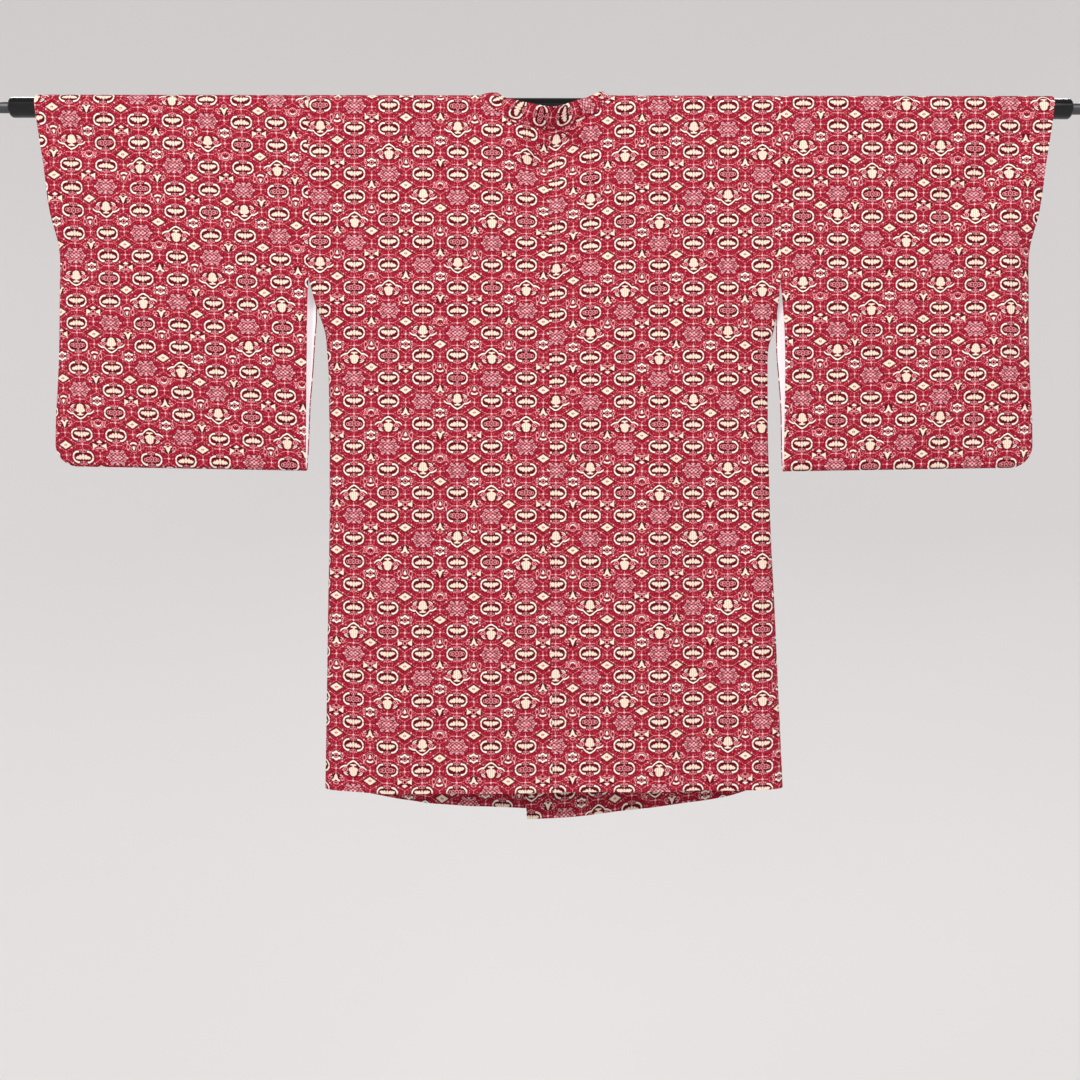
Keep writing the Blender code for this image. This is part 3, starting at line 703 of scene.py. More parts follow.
class Ink:
    """Adds the arithmetic of the print to a material's nodes, one step at a time."""

    def __init__(self, tree):
        self.tree = tree

    def node(self, kind, **settings):
        made = self.tree.nodes.new(kind)
        for name, value in settings.items():
            setattr(made, name, value)
        return made

    def feed(self, socket, value):
        if isinstance(value, bpy.types.NodeSocket):
            self.tree.links.new(value, socket)
        else:
            socket.default_value = value

    def number(self, operation, *values):
        made = self.node("ShaderNodeMath", operation=operation)
        for socket, value in zip(made.inputs, values):
            self.feed(socket, value)
        return made.outputs[0]

    def absolute(self, value):
        return self.number("ABSOLUTE", value)

    def apart(self, first, second):
        """The distance between two values."""
        return self.number("ABSOLUTE", self.number("SUBTRACT", first, second))

    def scaled(self, value, factor, start):
        """A value times a factor, added to a start."""
        return self.number("MULTIPLY_ADD", value, factor, start)

    def vector(self, operation, *values):
        made = self.node("ShaderNodeVectorMath", operation=operation)
        for socket, value in zip(made.inputs, values):
            self.feed(socket, value)
        return made.outputs["Value" if operation in ("LENGTH", "DISTANCE") else "Vector"]

    def point(self, x, y):
        made = self.node("ShaderNodeCombineXYZ")
        self.feed(made.inputs["X"], x)
        self.feed(made.inputs["Y"], y)
        return made.outputs["Vector"]

    def parts(self, point):
        made = self.node("ShaderNodeSeparateXYZ")
        self.feed(made.inputs["Vector"], point)
        return made.outputs["X"], made.outputs["Y"]

    def fade(self, value, low, high):
        """0 at low, 1 at high and level past both; high may be the lower number."""
        made = self.node("ShaderNodeMapRange", interpolation_type="LINEAR")
        self.feed(made.inputs["Value"], value)
        settle(made.inputs, {"From Min": low, "From Max": high})
        return made.outputs["Result"]

    def both(self, *masks):
        result = masks[0]
        for mask in masks[1:]:
            result = self.number("MULTIPLY", result, mask)
        return result

    def either(self, *masks):
        result = masks[0]
        for mask in masks[1:]:
            result = self.number("MAXIMUM", result, mask)
        return result

    def without(self, mask, cut):
        return self.number("MULTIPLY", mask, self.number("SUBTRACT", 1.0, cut))

    def wave(self, value, rate):
        """A sine wave along a value."""
        return self.number("SINE", self.number("MULTIPLY", value, rate))

    def from_middle(self, point, centre, radii):
        """How far a point is from an ellipse's middle: 1 on its outline."""
        scale = (1 / radii[0], 1 / radii[1], 0.0)
        shift = (-centre[0] / radii[0], -centre[1] / radii[1], 0.0)
        return self.vector("LENGTH", self.vector("MULTIPLY_ADD", point, scale, shift))

    def spot(self, point, centre, radii, soft=0.30):
        """An ellipse, in millimetres."""
        share = soft / min(radii)
        return self.fade(self.from_middle(point, centre, radii), 1 + share, 1 - share)

    def spots(self, point, *marks):
        """Ellipses, each given by its middle across and down and its two radii."""
        return self.either(*(self.spot(point, mark[:2], mark[2:]) for mark in marks))

    def rim(self, point, centre, radii, width, soft=0.30):
        """The outline of an ellipse, in millimetres."""
        off = self.from_middle(point, centre, radii)
        small = min(radii)
        return self.near(off, 1.0, width / 2 / small, soft / small)

    def ring(self, point, centre, radius, width, soft=0.30):
        """A round line, in millimetres."""
        off = self.vector("DISTANCE", point, (*centre, 0.0))
        from_line = self.apart(off, radius)
        return self.fade(from_line, width / 2 + soft, width / 2 - soft)

    def lozenge(self, sides, half_width, half_height, soft=0.12):
        """A diamond round the origin; sides are the distances from both of its axes."""
        across = self.number("DIVIDE", sides[0], half_width)
        total = self.scaled(sides[1], 1 / half_height, across)
        return self.fade(total, 1 + soft, 1 - soft)

    def near(self, value, centre, half_width, soft=0.25):
        """A straight band round one value."""
        off = self.apart(value, centre)
        return self.fade(off, half_width + soft, half_width - soft)

    def mix(self, share, first, second):
        """Two colours mixed, each a socket or a tuple of red, green and blue."""
        made = self.node("ShaderNodeMix", data_type="RGBA")
        self.feed(made.inputs["Factor"], share)
        for name, colour in (("A", first), ("B", second)):
            self.feed(made.inputs[name], (*colour, 1.0) if isinstance(colour, tuple) else colour)
        return made.outputs["Result"]

    def grain(self, point, scale, detail=2.0):
        """A noise over a point."""
        made = self.node("ShaderNodeTexNoise")
        settle(made.inputs, {"Scale": scale, "Detail": detail})
        self.feed(made.inputs["Vector"], point)
        return made

    def bump(self, height, strength, distance):
        """The normal of a bumpy face."""
        made = self.node("ShaderNodeBump")
        settle(made.inputs, {"Strength": strength, "Distance": distance})
        self.feed(made.inputs["Height"], height)
        return made.outputs["Normal"]

    def object_point(self):
        return self.node("ShaderNodeTexCoord").outputs["Object"]


def repeat_cell(ink, print_mm, shift):
    """The print's cell at a point: its number across and down, and the place from its middle."""
    pitch = (MM_ACROSS, MM_DOWN, 1.0)
    cells = ink.vector("ADD", ink.vector("DIVIDE", print_mm, pitch), (shift, shift, 0.0))
    cell = ink.vector("FLOOR", cells)
    middle = ink.vector("SUBTRACT", ink.vector("SUBTRACT", cells, cell), (0.5, 0.5, 0.0))
    return cell, ink.vector("MULTIPLY", middle, pitch)


def charted(ink, cell, chart, motifs):
    """Reads a chart at a cell, and returns a function that masks the cells with any of some letters."""
    across, down = ink.parts(cell)
    column = ink.number("FLOORED_MODULO", across, float(len(chart[0])))
    row = ink.number("FLOORED_MODULO", down, float(len(chart)))
    index = ink.scaled(row, float(len(chart[0])), column)
    places = len(chart) * len(chart[0])
    share = ink.number("DIVIDE", ink.number("ADD", index, 0.5), float(places))
    made = ink.node("ShaderNodeValToRGB")
    made.color_ramp.interpolation = "CONSTANT"
    stops = made.color_ramp.elements
    for place, letter in enumerate("".join(chart)):
        stop = stops[place] if place < 2 else stops.new(place / places)
        stop.position = place / places
        shade = motifs.index(letter) / len(motifs)
        stop.color = (shade, shade, shade, 1.0)
    ink.feed(made.inputs["Fac"], share)

    def has(letters):
        shades = [motifs.index(letter) / len(motifs) for letter in letters]
        return ink.either(*(ink.number("COMPARE", made.outputs["Color"], shade, 0.02) for shade in shades))

    return has


def turned(ink, point, turn):
    """The point itself, or the point turned half round where turn is 1."""
    sign = ink.scaled(turn, -2.0, 1.0)
    return ink.vector("MULTIPLY", point, ink.point(sign, sign))


class Colours:
    """The print's inks, each gathered from the motifs that use it."""

    def __init__(self, ink):
        self.ink = ink
        self.masks = dict.fromkeys(("dark", "pink", "lilac", "milk", "cream"), 0.0)

    def add(self, colour, mask, only=None):
        if only is not None:
            mask = self.ink.both(mask, only)
        self.masks[colour] = self.ink.number("MAXIMUM", self.masks[colour], mask)


def draw_ovals(ink, colours, point, large):
    """Two pale brackets round a cream winged form or a pink lotus, with pink curls above and below."""
    x, y = ink.parts(ink.vector("ADD", point, (0.1, 0.1, 0.0)))
    across = ink.absolute(x)
    down = ink.absolute(y)
    quarter = ink.point(across, down)
    winged = large("OU")
    lotus = large("XW")
    any_oval = ink.either(winged, lotus)
    past_straight = ink.number("MAXIMUM", ink.number("SUBTRACT", across, 6.0), 0.0)
    from_axis = ink.vector("LENGTH", ink.point(past_straight, y))
    colours.add("dark", ink.fade(from_axis, 9.4, 8.3), any_oval)
    off_bracket = ink.apart(from_axis, 6.9)
    thinned = ink.scaled(across, 0.03, off_bracket)
    bracket = ink.both(ink.fade(thinned, 1.55, 1.05), ink.fade(across, 4.8, 5.6))
    join = ink.both(ink.fade(across, 12.2, 12.8), ink.fade(down, 1.4, 0.7))
    colours.add("milk", ink.without(bracket, join), any_oval)
    colours.add("pink", ink.both(bracket, join), any_oval)
    rising = large("UW")
    hung_y = ink.number("MULTIPLY", y, ink.scaled(rising, -2.0, 1.0))
    hung = ink.point(across, hung_y)
    wings = ink.spots(
        hung, (0.0, 0.1, 1.7, 3.7), (3.7, -0.4, 1.9, 3.0), (6.7, -1.0, 1.7, 2.2), (8.6, -1.4, 1.0, 1.2)
    )
    ribs = ink.fade(ink.wave(across, 2.1), 0.0, 0.9)
    veined = ink.scaled(ink.both(wings, ribs), -0.15, wings)
    colours.add("cream", ink.both(veined, ink.fade(hung_y, -3.7, -3.1)), winged)
    petals = ink.either(
        ink.rim(hung, (0.0, 0.2), (2.3, 3.6), 0.7),
        ink.rim(hung, (4.5, -0.3), (2.5, 2.8), 0.7),
        ink.rim(hung, (7.7, -0.6), (1.8, 1.9), 0.7),
        ink.spots(hung, (0.0, 0.2, 0.6, 1.3), (4.5, -0.3, 0.6, 0.9)),
    )
    colours.add("pink", petals, lotus)
    curl = ink.ring(quarter, (1.9, 7.5), 1.5, 0.6, 0.2)
    curls = ink.either(curl, ink.rim(quarter, (0.0, 9.0), (1.9, 1.4), 0.6, 0.2))
    colours.add("pink", ink.both(curls, 0.85), any_oval)
    seeds = ink.spots(quarter, (0.0, 5.6, 0.7, 0.7), (4.0, 8.9, 0.7, 0.6))
    colours.add("lilac", ink.both(seeds, 0.8), any_oval)


def draw_buds(ink, colours, point, large):
    """A cream bud over a scalloped pale line, with pink scrolls and pale leaves beside it."""
    bud = large("PQ")
    upside_down = large("Q")
    moved = ink.vector("ADD", point, ink.point(0.2, ink.number("MULTIPLY", upside_down, 1.25)))
    x, y = ink.parts(turned(ink, moved, upside_down))
    across = ink.absolute(x)
    mirrored = ink.point(across, y)
    around = ink.spots(mirrored, (0.0, -1.6, 8.4, 11.0), (10.2, -6.4, 4.4, 4.6))
    colours.add("dark", ink.both(around, 0.85), bud)
    body = ink.spots(mirrored, (0.0, -2.5, 6.2, 3.4), (0.0, -6.0, 4.6, 4.6))
    base = ink.spots(mirrored, (0.0, 2.1, 1.3, 1.3), (1.6, 3.5, 2.4, 1.0))
    stripes = ink.fade(ink.wave(x, 2.3), 0.2, 1.0)
    veined = ink.scaled(ink.both(body, stripes), -0.35, body)
    colours.add("cream", ink.either(veined, base), bud)
    bowl = ink.scaled(ink.scaled(across, -0.055, -0.25), across, 8.7)
    off_arm = ink.number("SUBTRACT", across, 10.0)
    arm = ink.scaled(ink.number("MULTIPLY", off_arm, off_arm), -0.068, 2.1)
    off_line = ink.apart(y, ink.number("MAXIMUM", bowl, arm))
    reach = ink.fade(across, 17.6, 16.9)
    colours.add("dark", ink.both(ink.fade(off_line, 3.2, 2.0), reach), bud)
    colours.add("milk", ink.both(ink.fade(off_line, 1.25, 0.8), reach), bud)
    scroll = ink.either(
        ink.ring(mirrored, (10.3, -2.5), 2.5, 1.0),
        ink.spots(mirrored, (10.3, -2.5, 0.8, 0.8), (13.6, -3.4, 1.0, 0.7), (10.2, 6.0, 1.0, 0.8)),
    )
    colours.add("pink", scroll, bud)
    leaf = ink.spots(
        mirrored,
        (7.9, -9.2, 1.1, 0.6),
        (9.4, -8.6, 1.1, 0.7),
        (10.8, -7.6, 0.9, 0.8),
        (11.8, -6.4, 0.7, 0.8),
        (8.6, -7.0, 0.9, 0.5),
        (9.8, -6.0, 0.7, 0.5),
    )
    colours.add("milk", leaf, bud)


def draw_clusters(ink, colours, point, dots, large):
    """A wide flower head: a beaded eye in a pink lozenge, with pale tips and four curls."""
    cluster = large("F")
    x, y = ink.parts(ink.vector("ADD", point, (0.2, 0.75, 0.0)))
    quarter = ink.point(ink.absolute(x), ink.absolute(y))
    sides = ink.parts(quarter)
    colours.add("dark", ink.both(ink.lozenge(sides, 17.5, 12.2), 0.7), cluster)
    eye_line = ink.rim(quarter, (0.0, 0.0), (7.4, 3.7), 0.9)
    beaded = ink.scaled(dots, 0.78, 0.2)
    head = ink.both(ink.lozenge(sides, 13.2, 8.6, 0.08), ink.without(beaded, ink.both(eye_line, 0.8)))
    colours.add("pink", head, cluster)
    colours.add("lilac", ink.both(ink.spots(quarter, (0.0, 0.0, 6.6, 3.0)), dots, 0.7), cluster)
    curls = ink.either(
        ink.ring(quarter, (7.2, 7.6), 1.5, 0.8),
        ink.spots(quarter, (4.6, 6.8, 1.1, 0.7), (9.6, 4.2, 1.0, 0.8), (7.2, 7.6, 0.5, 0.5)),
    )
    colours.add("lilac", ink.both(curls, 0.85), cluster)
    colours.add("lilac", ink.spots(quarter, (0.0, 8.0, 1.3, 1.3), (12.9, 0.0, 1.5, 1.2)), cluster)
    colours.add("pink", ink.spots(quarter, (1.9, 9.0, 0.8, 0.6), (11.0, 2.3, 0.9, 0.7)), cluster)


def draw_small_motifs(ink, colours, point, small):
    """The seven small motifs that stand between the large ones."""
    x, y = ink.parts(point)
    across = ink.absolute(x)
    mirrored = ink.point(across, y)
    level = ink.vector("ADD", mirrored, (0.0, 0.4, 0.0))
    quarter = ink.point(across, ink.absolute(ink.parts(level)[1]))
    sides = ink.parts(quarter)

    lozenge = small("D")
    colours.add("dark", ink.lozenge(sides, 10.6, 7.0), lozenge)
    eye = ink.lozenge(sides, 2.4, 2.0)
    colours.add("cream", ink.without(ink.lozenge(sides, 7.8, 5.1), ink.both(eye, 0.85)), lozenge)
    colours.add("pink", ink.both(ink.near(ink.parts(quarter)[0], 0.0, 0.7), eye), lozenge)

    hanging = small("A")
    trefoil = ink.either(hanging, small("Y"))
    lowered = ink.point(0.0, ink.number("MULTIPLY", hanging, -1.0))
    leaf_x, leaf_y = ink.parts(turned(ink, ink.vector("ADD", mirrored, lowered), hanging))
    leaf_across = ink.absolute(leaf_x)
    leaf = ink.point(leaf_across, leaf_y)
    colours.add("dark", ink.spots(leaf, (0.0, 0.2, 7.2, 7.4)), trefoil)
    taper = ink.scaled(leaf_y, -0.42, 2.7)
    notch = ink.scaled(ink.fade(leaf_across, 2.8, 0.0), 2.6, -3.8)
    blade = ink.both(
        ink.fade(ink.number("SUBTRACT", leaf_across, taper), 0.4, -0.4),
        ink.fade(ink.number("SUBTRACT", leaf_y, notch), -0.3, 0.4),
    )
    colours.add("cream", ink.either(blade, ink.spots(leaf, (3.6, -2.7, 1.8, 1.2))), trefoil)
    scrolls = ink.either(
        ink.rim(leaf, (0.0, -5.8), (2.8, 1.4), 0.8),
        ink.ring(leaf, (8.2, -0.4), 1.9, 0.8),
        ink.spots(leaf, (5.4, 1.2, 1.0, 0.7)),
    )
    colours.add("pink", scrolls, trefoil)
    colours.add("lilac", ink.spots(leaf, (6.0, 4.0, 0.9, 0.8)), trefoil)

    bow = small("B")
    colours.add("dark", ink.spots(level, (0.0, -0.4, 11.2, 6.4)), bow)
    off_level = ink.absolute(ink.parts(level)[1])
    widening = ink.scaled(across, -0.42, off_level)
    wing = ink.both(ink.fade(widening, -0.1, -0.8), ink.fade(across, 9.2, 8.5), ink.fade(across, 3.1, 3.9))
    colours.add("cream", wing, bow)
    colours.add("milk", ink.spots(level, (0.0, -4.9, 3.1, 1.2), (0.0, -5.9, 1.4, 1.1)), bow)
    knot = ink.ring(level, (0.0, -0.2), 2.3, 1.0)
    colours.add("pink", ink.either(knot, ink.spots(level, (2.6, 3.4, 3.0, 0.8))), bow)
    colours.add("pink", ink.spots(level, (8.6, 4.6, 1.2, 0.8), (3.2, 5.6, 1.4, 0.6)), bow)

    flower = small("R")
    colours.add("dark", ink.spots(quarter, (0.0, 0.0, 7.6, 7.2)), flower)
    petals = ink.spots(quarter, (0.0, 5.0, 1.5, 1.3), (1.7, 4.0, 1.2, 1.2), (4.0, 2.9, 1.7, 1.5))
    colours.add("milk", petals, flower)
    heart = ink.ring(quarter, (0.0, 0.0), 2.0, 0.9)
    colours.add("pink", ink.either(heart, ink.ring(quarter, (7.8, 0.0), 1.4, 0.9)), flower)
    colours.add("lilac", ink.spots(quarter, (7.6, 3.5, 0.9, 0.8)), flower)

    scroll = small("S")
    colours.add("dark", ink.both(ink.spots(quarter, (0.0, 0.0, 9.4, 7.4)), 0.6), scroll)
    cup = ink.without(ink.spots(level, (0.0, -4.2, 4.4, 2.2)), ink.spots(level, (0.0, -2.6, 3.2, 1.7)))
    stem = ink.spots(level, (0.0, 0.9, 1.6, 1.8), (0.0, 2.8, 0.8, 1.2))
    colours.add("milk", ink.either(cup, stem), scroll)
    brackets = ink.either(
        ink.rim(quarter, (7.2, 0.0), (1.9, 3.5), 0.8),
        ink.rim(level, (0.0, 2.4), (3.6, 3.4), 0.7),
        ink.spots(level, (4.8, -0.6, 0.9, 0.8)),
    )
    colours.add("pink", brackets, scroll)
    colours.add("lilac", ink.spots(level, (8.0, -4.6, 0.9, 0.8)), scroll)

    fan = small("K")
    colours.add("dark", ink.both(ink.spots(level, (0.0, 0.0, 10.4, 7.0)), 0.45), fan)
    cap = ink.without(ink.spots(level, (0.0, 1.9, 3.7, 2.4)), ink.spots(level, (0.0, 0.6, 2.9, 2.1)))
    colours.add("milk", cap, fan)
    loops = ink.either(
        ink.ring(level, (6.7, -0.4), 2.2, 1.0),
        ink.rim(level, (0.0, 0.6), (5.4, 5.4), 0.9),
        ink.spots(level, (6.7, -0.4, 0.6, 0.6), (9.6, -2.6, 0.9, 0.7), (1.6, -2.6, 0.8, 0.6)),
    )
    colours.add("pink", loops, fan)
    colours.add("lilac", ink.spots(level, (0.0, -4.4, 0.9, 0.7), (7.4, 4.2, 0.8, 0.7)), fan)


def draw_trellis(ink, colours, point, small_point):
    """A net of dotted pink lines round the small motifs, with small crosses where it hangs together."""
    x, y = ink.parts(small_point)
    aside = ink.absolute(x)
    above = ink.apart(y, NET_DOWN)
    total = ink.scaled(above, 1 / NET_HIGH, ink.number("DIVIDE", aside, NET_WIDE))
    beads = ink.fade(ink.wave(aside, math.tau / 2.5), -0.7, 0.2)
    outside = ink.fade(total, 0.98, 1.04)
    stitches = ink.fade(ink.wave(y, math.tau / 1.9), -0.5, 0.3)
    level_links = ink.both(ink.fade(above, 0.65, 0.3), beads)
    links = ink.either(level_links, ink.both(ink.fade(aside, 0.65, 0.3), stitches))
    net = ink.either(ink.both(ink.near(total, 1.0, 0.032, 0.026), beads), ink.both(links, outside))
    large_x, large_y = ink.parts(point)
    large_aside = ink.absolute(large_x)
    from_middle = ink.fade(ink.absolute(large_y), 11.8, 12.4)
    upright = ink.both(ink.fade(large_aside, 0.65, 0.3), from_middle, stitches)
    colours.add("pink", ink.either(net, upright))
    colours.add("lilac", ink.spots(ink.point(aside, above), (7.9, 5.0, 1.0, 0.9)))
    for place_aside, place_y in ((aside, y), (large_aside, large_y)):
        below = ink.apart(place_y, CROSS_DOWN)
        wrapped = ink.apart(place_y, CROSS_DOWN - MM_DOWN)
        cross = ink.point(place_aside, ink.number("MINIMUM", below, wrapped))
        arms = ink.spots(cross, (0.0, 0.0, 3.8, 0.36), (0.0, 0.0, 0.38, 2.9), (5.1, 0.0, 0.8, 0.5))
        colours.add("pink", ink.both(arms, 0.85))
        colours.add("lilac", ink.spots(cross, (0.0, 0.0, 1.25, 1.15)))


def draw_beads(ink, colours, print_mm):
    """Small pink beads strewn over the ground, for the print's fine filling."""
    cells = ink.vector("DIVIDE", print_mm, (MM_ACROSS / 13, MM_DOWN / 9, 1.0))
    cell = ink.vector("FLOOR", cells)
    middle = ink.vector("SUBTRACT", ink.vector("SUBTRACT", cells, cell), (0.5, 0.5, 0.0))
    chance = ink.node("ShaderNodeTexWhiteNoise", noise_dimensions="3D")
    ink.feed(chance.inputs["Vector"], cell)
    centred = ink.vector("SUBTRACT", chance.outputs["Color"], (0.5, 0.5, 0.5))
    aside = ink.vector("SUBTRACT", middle, ink.vector("MULTIPLY", centred, (0.5, 0.5, 0.0)))
    off = ink.vector("LENGTH", ink.vector("MULTIPLY", aside, (3.4, 3.2, 0.0)))
    kept = ink.number("GREATER_THAN", chance.outputs["Value"], 0.66)
    colours.add("pink", ink.number("MULTIPLY", ink.both(ink.fade(off, 0.9, 0.4), kept), 0.5))


def crepe_bump(ink, print_mm, strength):
    """The crepe's pebbled grain with the weave under it, as a bump."""
    grain = ink.grain(print_mm, 0.95, 3.0).outputs["Fac"]
    x, y = ink.parts(print_mm)
    weave = ink.both(ink.wave(x, math.tau / 0.55), ink.wave(y, math.tau / 0.62), 0.16)
    return ink.bump(ink.number("ADD", grain, weave), strength, 0.0003), grain


def new_material(name):
    """An empty material with its Principled shader's sockets and an Ink for its nodes."""
    made = bpy.data.materials.new(name)
    made.use_nodes = True
    return made, made.node_tree.nodes["Principled BSDF"].inputs, Ink(made.node_tree)


def cloth_millimetres(ink):
    """The place in the print, in millimetres, with the slight wander of hand printing."""
    uv = ink.node("ShaderNodeUVMap", uv_map="cloth")
    metres = uv.outputs["UV"]
    centred = ink.vector("SUBTRACT", ink.grain(metres, 330.0).outputs["Color"], (0.5, 0.5, 0.5))
    print_mm = ink.vector("MULTIPLY", metres, (1000.0, 1000.0, 0.0))
    return ink.vector("MULTIPLY_ADD", centred, (1.3, 1.3, 0.0), print_mm)


def printed_crepe():
    """Deep red silk crepe with the coat's small cream, pink and maroon print."""
    made, shader, ink = new_material("printed_crepe")
    print_mm = cloth_millimetres(ink)
    x, y = ink.parts(print_mm)
    checks = ink.both(ink.wave(x, math.tau / 5.4), ink.wave(y, math.tau / 4.4))
    dots = ink.fade(checks, -0.1, 0.25)
    colours = Colours(ink)
    cell, point = repeat_cell(ink, print_mm, 0.0)
    large = charted(ink, cell, LARGE_CHART, LARGE_MOTIFS)
    small_cell, small_point = repeat_cell(ink, print_mm, -0.5)
    small = charted(ink, small_cell, SMALL_CHART, SMALL_MOTIFS)
    draw_trellis(ink, colours, point, small_point)
    draw_small_motifs(ink, colours, small_point, small)
    draw_ovals(ink, colours, point, large)
    draw_buds(ink, colours, point, large)
    draw_clusters(ink, colours, point, dots, large)
    strewn = Colours(ink)
    draw_beads(ink, strewn, print_mm)
    normal, grain = crepe_bump(ink, print_mm, 0.55)
    speckle = ink.fade(ink.grain(print_mm, 0.55, 1.0).outputs["Fac"], 0.42, 0.60)
    ground = ink.mix(speckle, PRINT_COLOURS["ground"], PRINT_COLOURS["ground_light"])
    depth = ink.number("MULTIPLY", colours.masks["dark"], ink.scaled(speckle, -0.15, 1.0))
    ground = ink.mix(strewn.masks["pink"], ground, PRINT_COLOURS["pink"])
    colour = ink.mix(depth, ground, PRINT_COLOURS["dark"])
    worn = ink.scaled(ink.fade(grain, 0.35, 0.6), 0.2, 0.8)
    for name in ("pink", "lilac"):
        colour = ink.mix(ink.both(colours.masks[name], worn), colour, PRINT_COLOURS[name])
    for name in ("milk", "cream"):
        colour = ink.mix(colours.masks[name], colour, PRINT_COLOURS[name])
    ink.feed(shader["Base Color"], colour)
    ink.feed(shader["Normal"], normal)
    settle(shader, {"Roughness": 0.9, "Specular IOR Level": 0.03})
    settle(shader, {"Sheen Weight": 0.01, "Sheen Roughness": 0.5})
    return made


def lining_silk():
    """Pale lining silk with a fine weave and a soft sheen, and a painted glow of its own that brightens it
    where the sleeves shade it.
    """
    made, shader, ink = new_material("lining_silk")
    print_mm = cloth_millimetres(ink)
    normal, grain = crepe_bump(ink, print_mm, 0.2)
    colour = ink.mix(grain, (0.66, 0.62, 0.635), (0.70, 0.665, 0.68))
    ink.feed(shader["Base Color"], colour)
    ink.feed(shader["Normal"], normal)
    settle(shader, {"Roughness": 0.5, "Sheen Weight": 0.3})
    # Painted light: the lining glows though it is no lamp, so it stays bright where the sleeve's layers
    # shade it
    settle(shader, {"Emission Color": (1.0, 0.93, 0.95, 1.0), "Emission Strength": LINING_PAINTED_GLOW})
    return made


def rod_enamel():
    """Glossy black enamel with a trace of orange peel."""
    made, shader, ink = new_material("rod_enamel")
    ripple = ink.grain(ink.object_point(), 180.0).outputs["Fac"]
    ink.feed(shader["Normal"], ink.bump(ripple, 0.06, 0.0005))
    wear = ink.fade(ripple, 0.3, 0.8)
    ink.feed(shader["Base Color"], ink.mix(wear, (0.003, 0.003, 0.004), (0.006, 0.006, 0.007)))
    settle(shader, {"Roughness": 0.14, "Specular IOR Level": 0.36})
    return made


def rod_steel():
    """Satin grey steel drawn along the rod."""
    made, shader, ink = new_material("rod_steel")
    stretched = ink.vector("MULTIPLY", ink.object_point(), (40.0, 2400.0, 2400.0))
    lines = ink.grain(stretched, 1.0).outputs["Fac"]
    ink.feed(shader["Base Color"], ink.mix(lines, (0.05, 0.052, 0.056), (0.11, 0.115, 0.122)))
    ink.feed(shader["Roughness"], ink.fade(lines, -0.9, 2.2))
    settle(shader, {"Metallic": 0.7})
    return made


def pale_ground():
    """The studio's pale matt paper, with a faint glow of its own."""
    made, shader, ink = new_material("pale_ground")
    mottle = ink.grain(ink.object_point(), 0.6).outputs["Fac"]
    ink.feed(shader["Base Color"], ink.mix(mottle, (0.43, 0.42, 0.42), (0.46, 0.45, 0.45)))
    settle(shader, {"Roughness": 0.95})
    settle(shader, {"Emission Color": (1.0, 0.975, 0.97, 1.0), "Emission Strength": GROUND_GLOW})
    return made


def finish_piece(mesh_source, name, material, replaces):
    """Makes a finished piece of the coat from a bmesh and fixes it to the coat."""
    mesh = bpy.data.meshes.new(name)
    mesh_source.to_mesh(mesh)
    mesh_source.free()
    mesh.shade_smooth()
    mesh.materials.append(material)
    made = bpy.data.objects.new(name, mesh)
    bpy.context.scene.collection.objects.link(made)
    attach(made, "root")
    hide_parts(*replaces)
    return made


def cloth_grid(across, rows, place):
    """A grid of cloth with its print map in metres; place gives each point and its place in the print."""
    cloth = bmesh.new()
    bmesh.ops.create_grid(cloth, x_segments=len(across) - 1, y_segments=len(rows) - 1, size=0.5)
    printed = cloth.loops.layers.uv.new("cloth")
    for vert in cloth.verts:
        column = round((vert.co.x + 0.5) * (len(across) - 1))
        row = round((vert.co.y + 0.5) * (len(rows) - 1))
        vert.co, in_print = place(across[column], rows[row])
        for loop in vert.link_loops:
            loop[printed].uv = in_print
    bmesh.ops.remove_doubles(cloth, verts=cloth.verts, dist=0.00002)
    cloth.normal_update()
    outwards = sum(face.normal.y * face.calc_center_median().y for face in cloth.faces)
    if outwards < 0:
        bmesh.ops.reverse_faces(cloth, faces=cloth.faces)
    cloth.normal_update()
    return cloth


def thicken(piece, thick, offset=1.0, soft=EDGE_SOFT, segments=2):
    """Gives a cloth piece its wall and softens the wall's edges."""
    wall = piece.modifiers.new("wall", "SOLIDIFY")
    wall.thickness = thick
    wall.offset = offset
    wall.use_rim = True
    edges = piece.modifiers.new("soft_edges", "BEVEL")
    edges.width = soft
    edges.segments = segments
    edges.limit_method = "ANGLE"
    edges.angle_limit = EDGE_ANGLE
    edges.profile = 0.5


def hang_sheet(cloth, name, material, slot, thick, flat, **wall):
    """Finishes a piece of cloth and gives it its wall."""
    piece = finish_piece(cloth, f"{name}_cloth", material, [name])
    thicken(piece, thick, **wall)


def shares_across(width):
    """Columns across a piece as shares of its width, finer at its edges."""
    return [step / width for step in stepped(width, COLUMN_STEP)]


def make_body(side, name, crepe):
    columns = shares_across(BODY_WIDTH)
    cloth = cloth_grid(columns, body_rows(), lambda across, row: body_point(side, across, row))
    hang_sheet(cloth, name, crepe, "outer_cloth", CLOTH_THICK, flat=(0.30, 1.84))


def make_sleeve(side, name, lining_name, crepe, silk):
    columns = shares_across(SLEEVE_WIDTH)
    cloth = cloth_grid(columns, sleeve_rows(), lambda across, row: sleeve_point(side, across, row))
    hang_sheet(cloth, name, crepe, "outer_cloth", CLOTH_THICK, flat=(0.345, 0.98))
    inset = [LINING_START + share * LINING_SHARE for share in columns[::2]]
    lining = cloth_grid(inset, sleeve_rows(), lambda across, row: sleeve_point(side, across, row))
    for vert in lining.verts:
        vert.co -= vert.normal * SEAM_GAP
    wall = {"offset": -1.0, "soft": LINING_EDGE_SOFT}
    hang_sheet(lining, lining_name, silk, "lining_cloth", LINING_THICK, flat=(0.32, 0.98), **wall)


def make_band(side, name, crepe):
    columns = shares_across(BAND_WIDTH)
    cloth = cloth_grid(columns, band_rows(), lambda across, drop: band_point(side, across, drop))
    hang_sheet(cloth, name, crepe, "outer_cloth", CLOTH_THICK, flat=(0.165, 0.72))


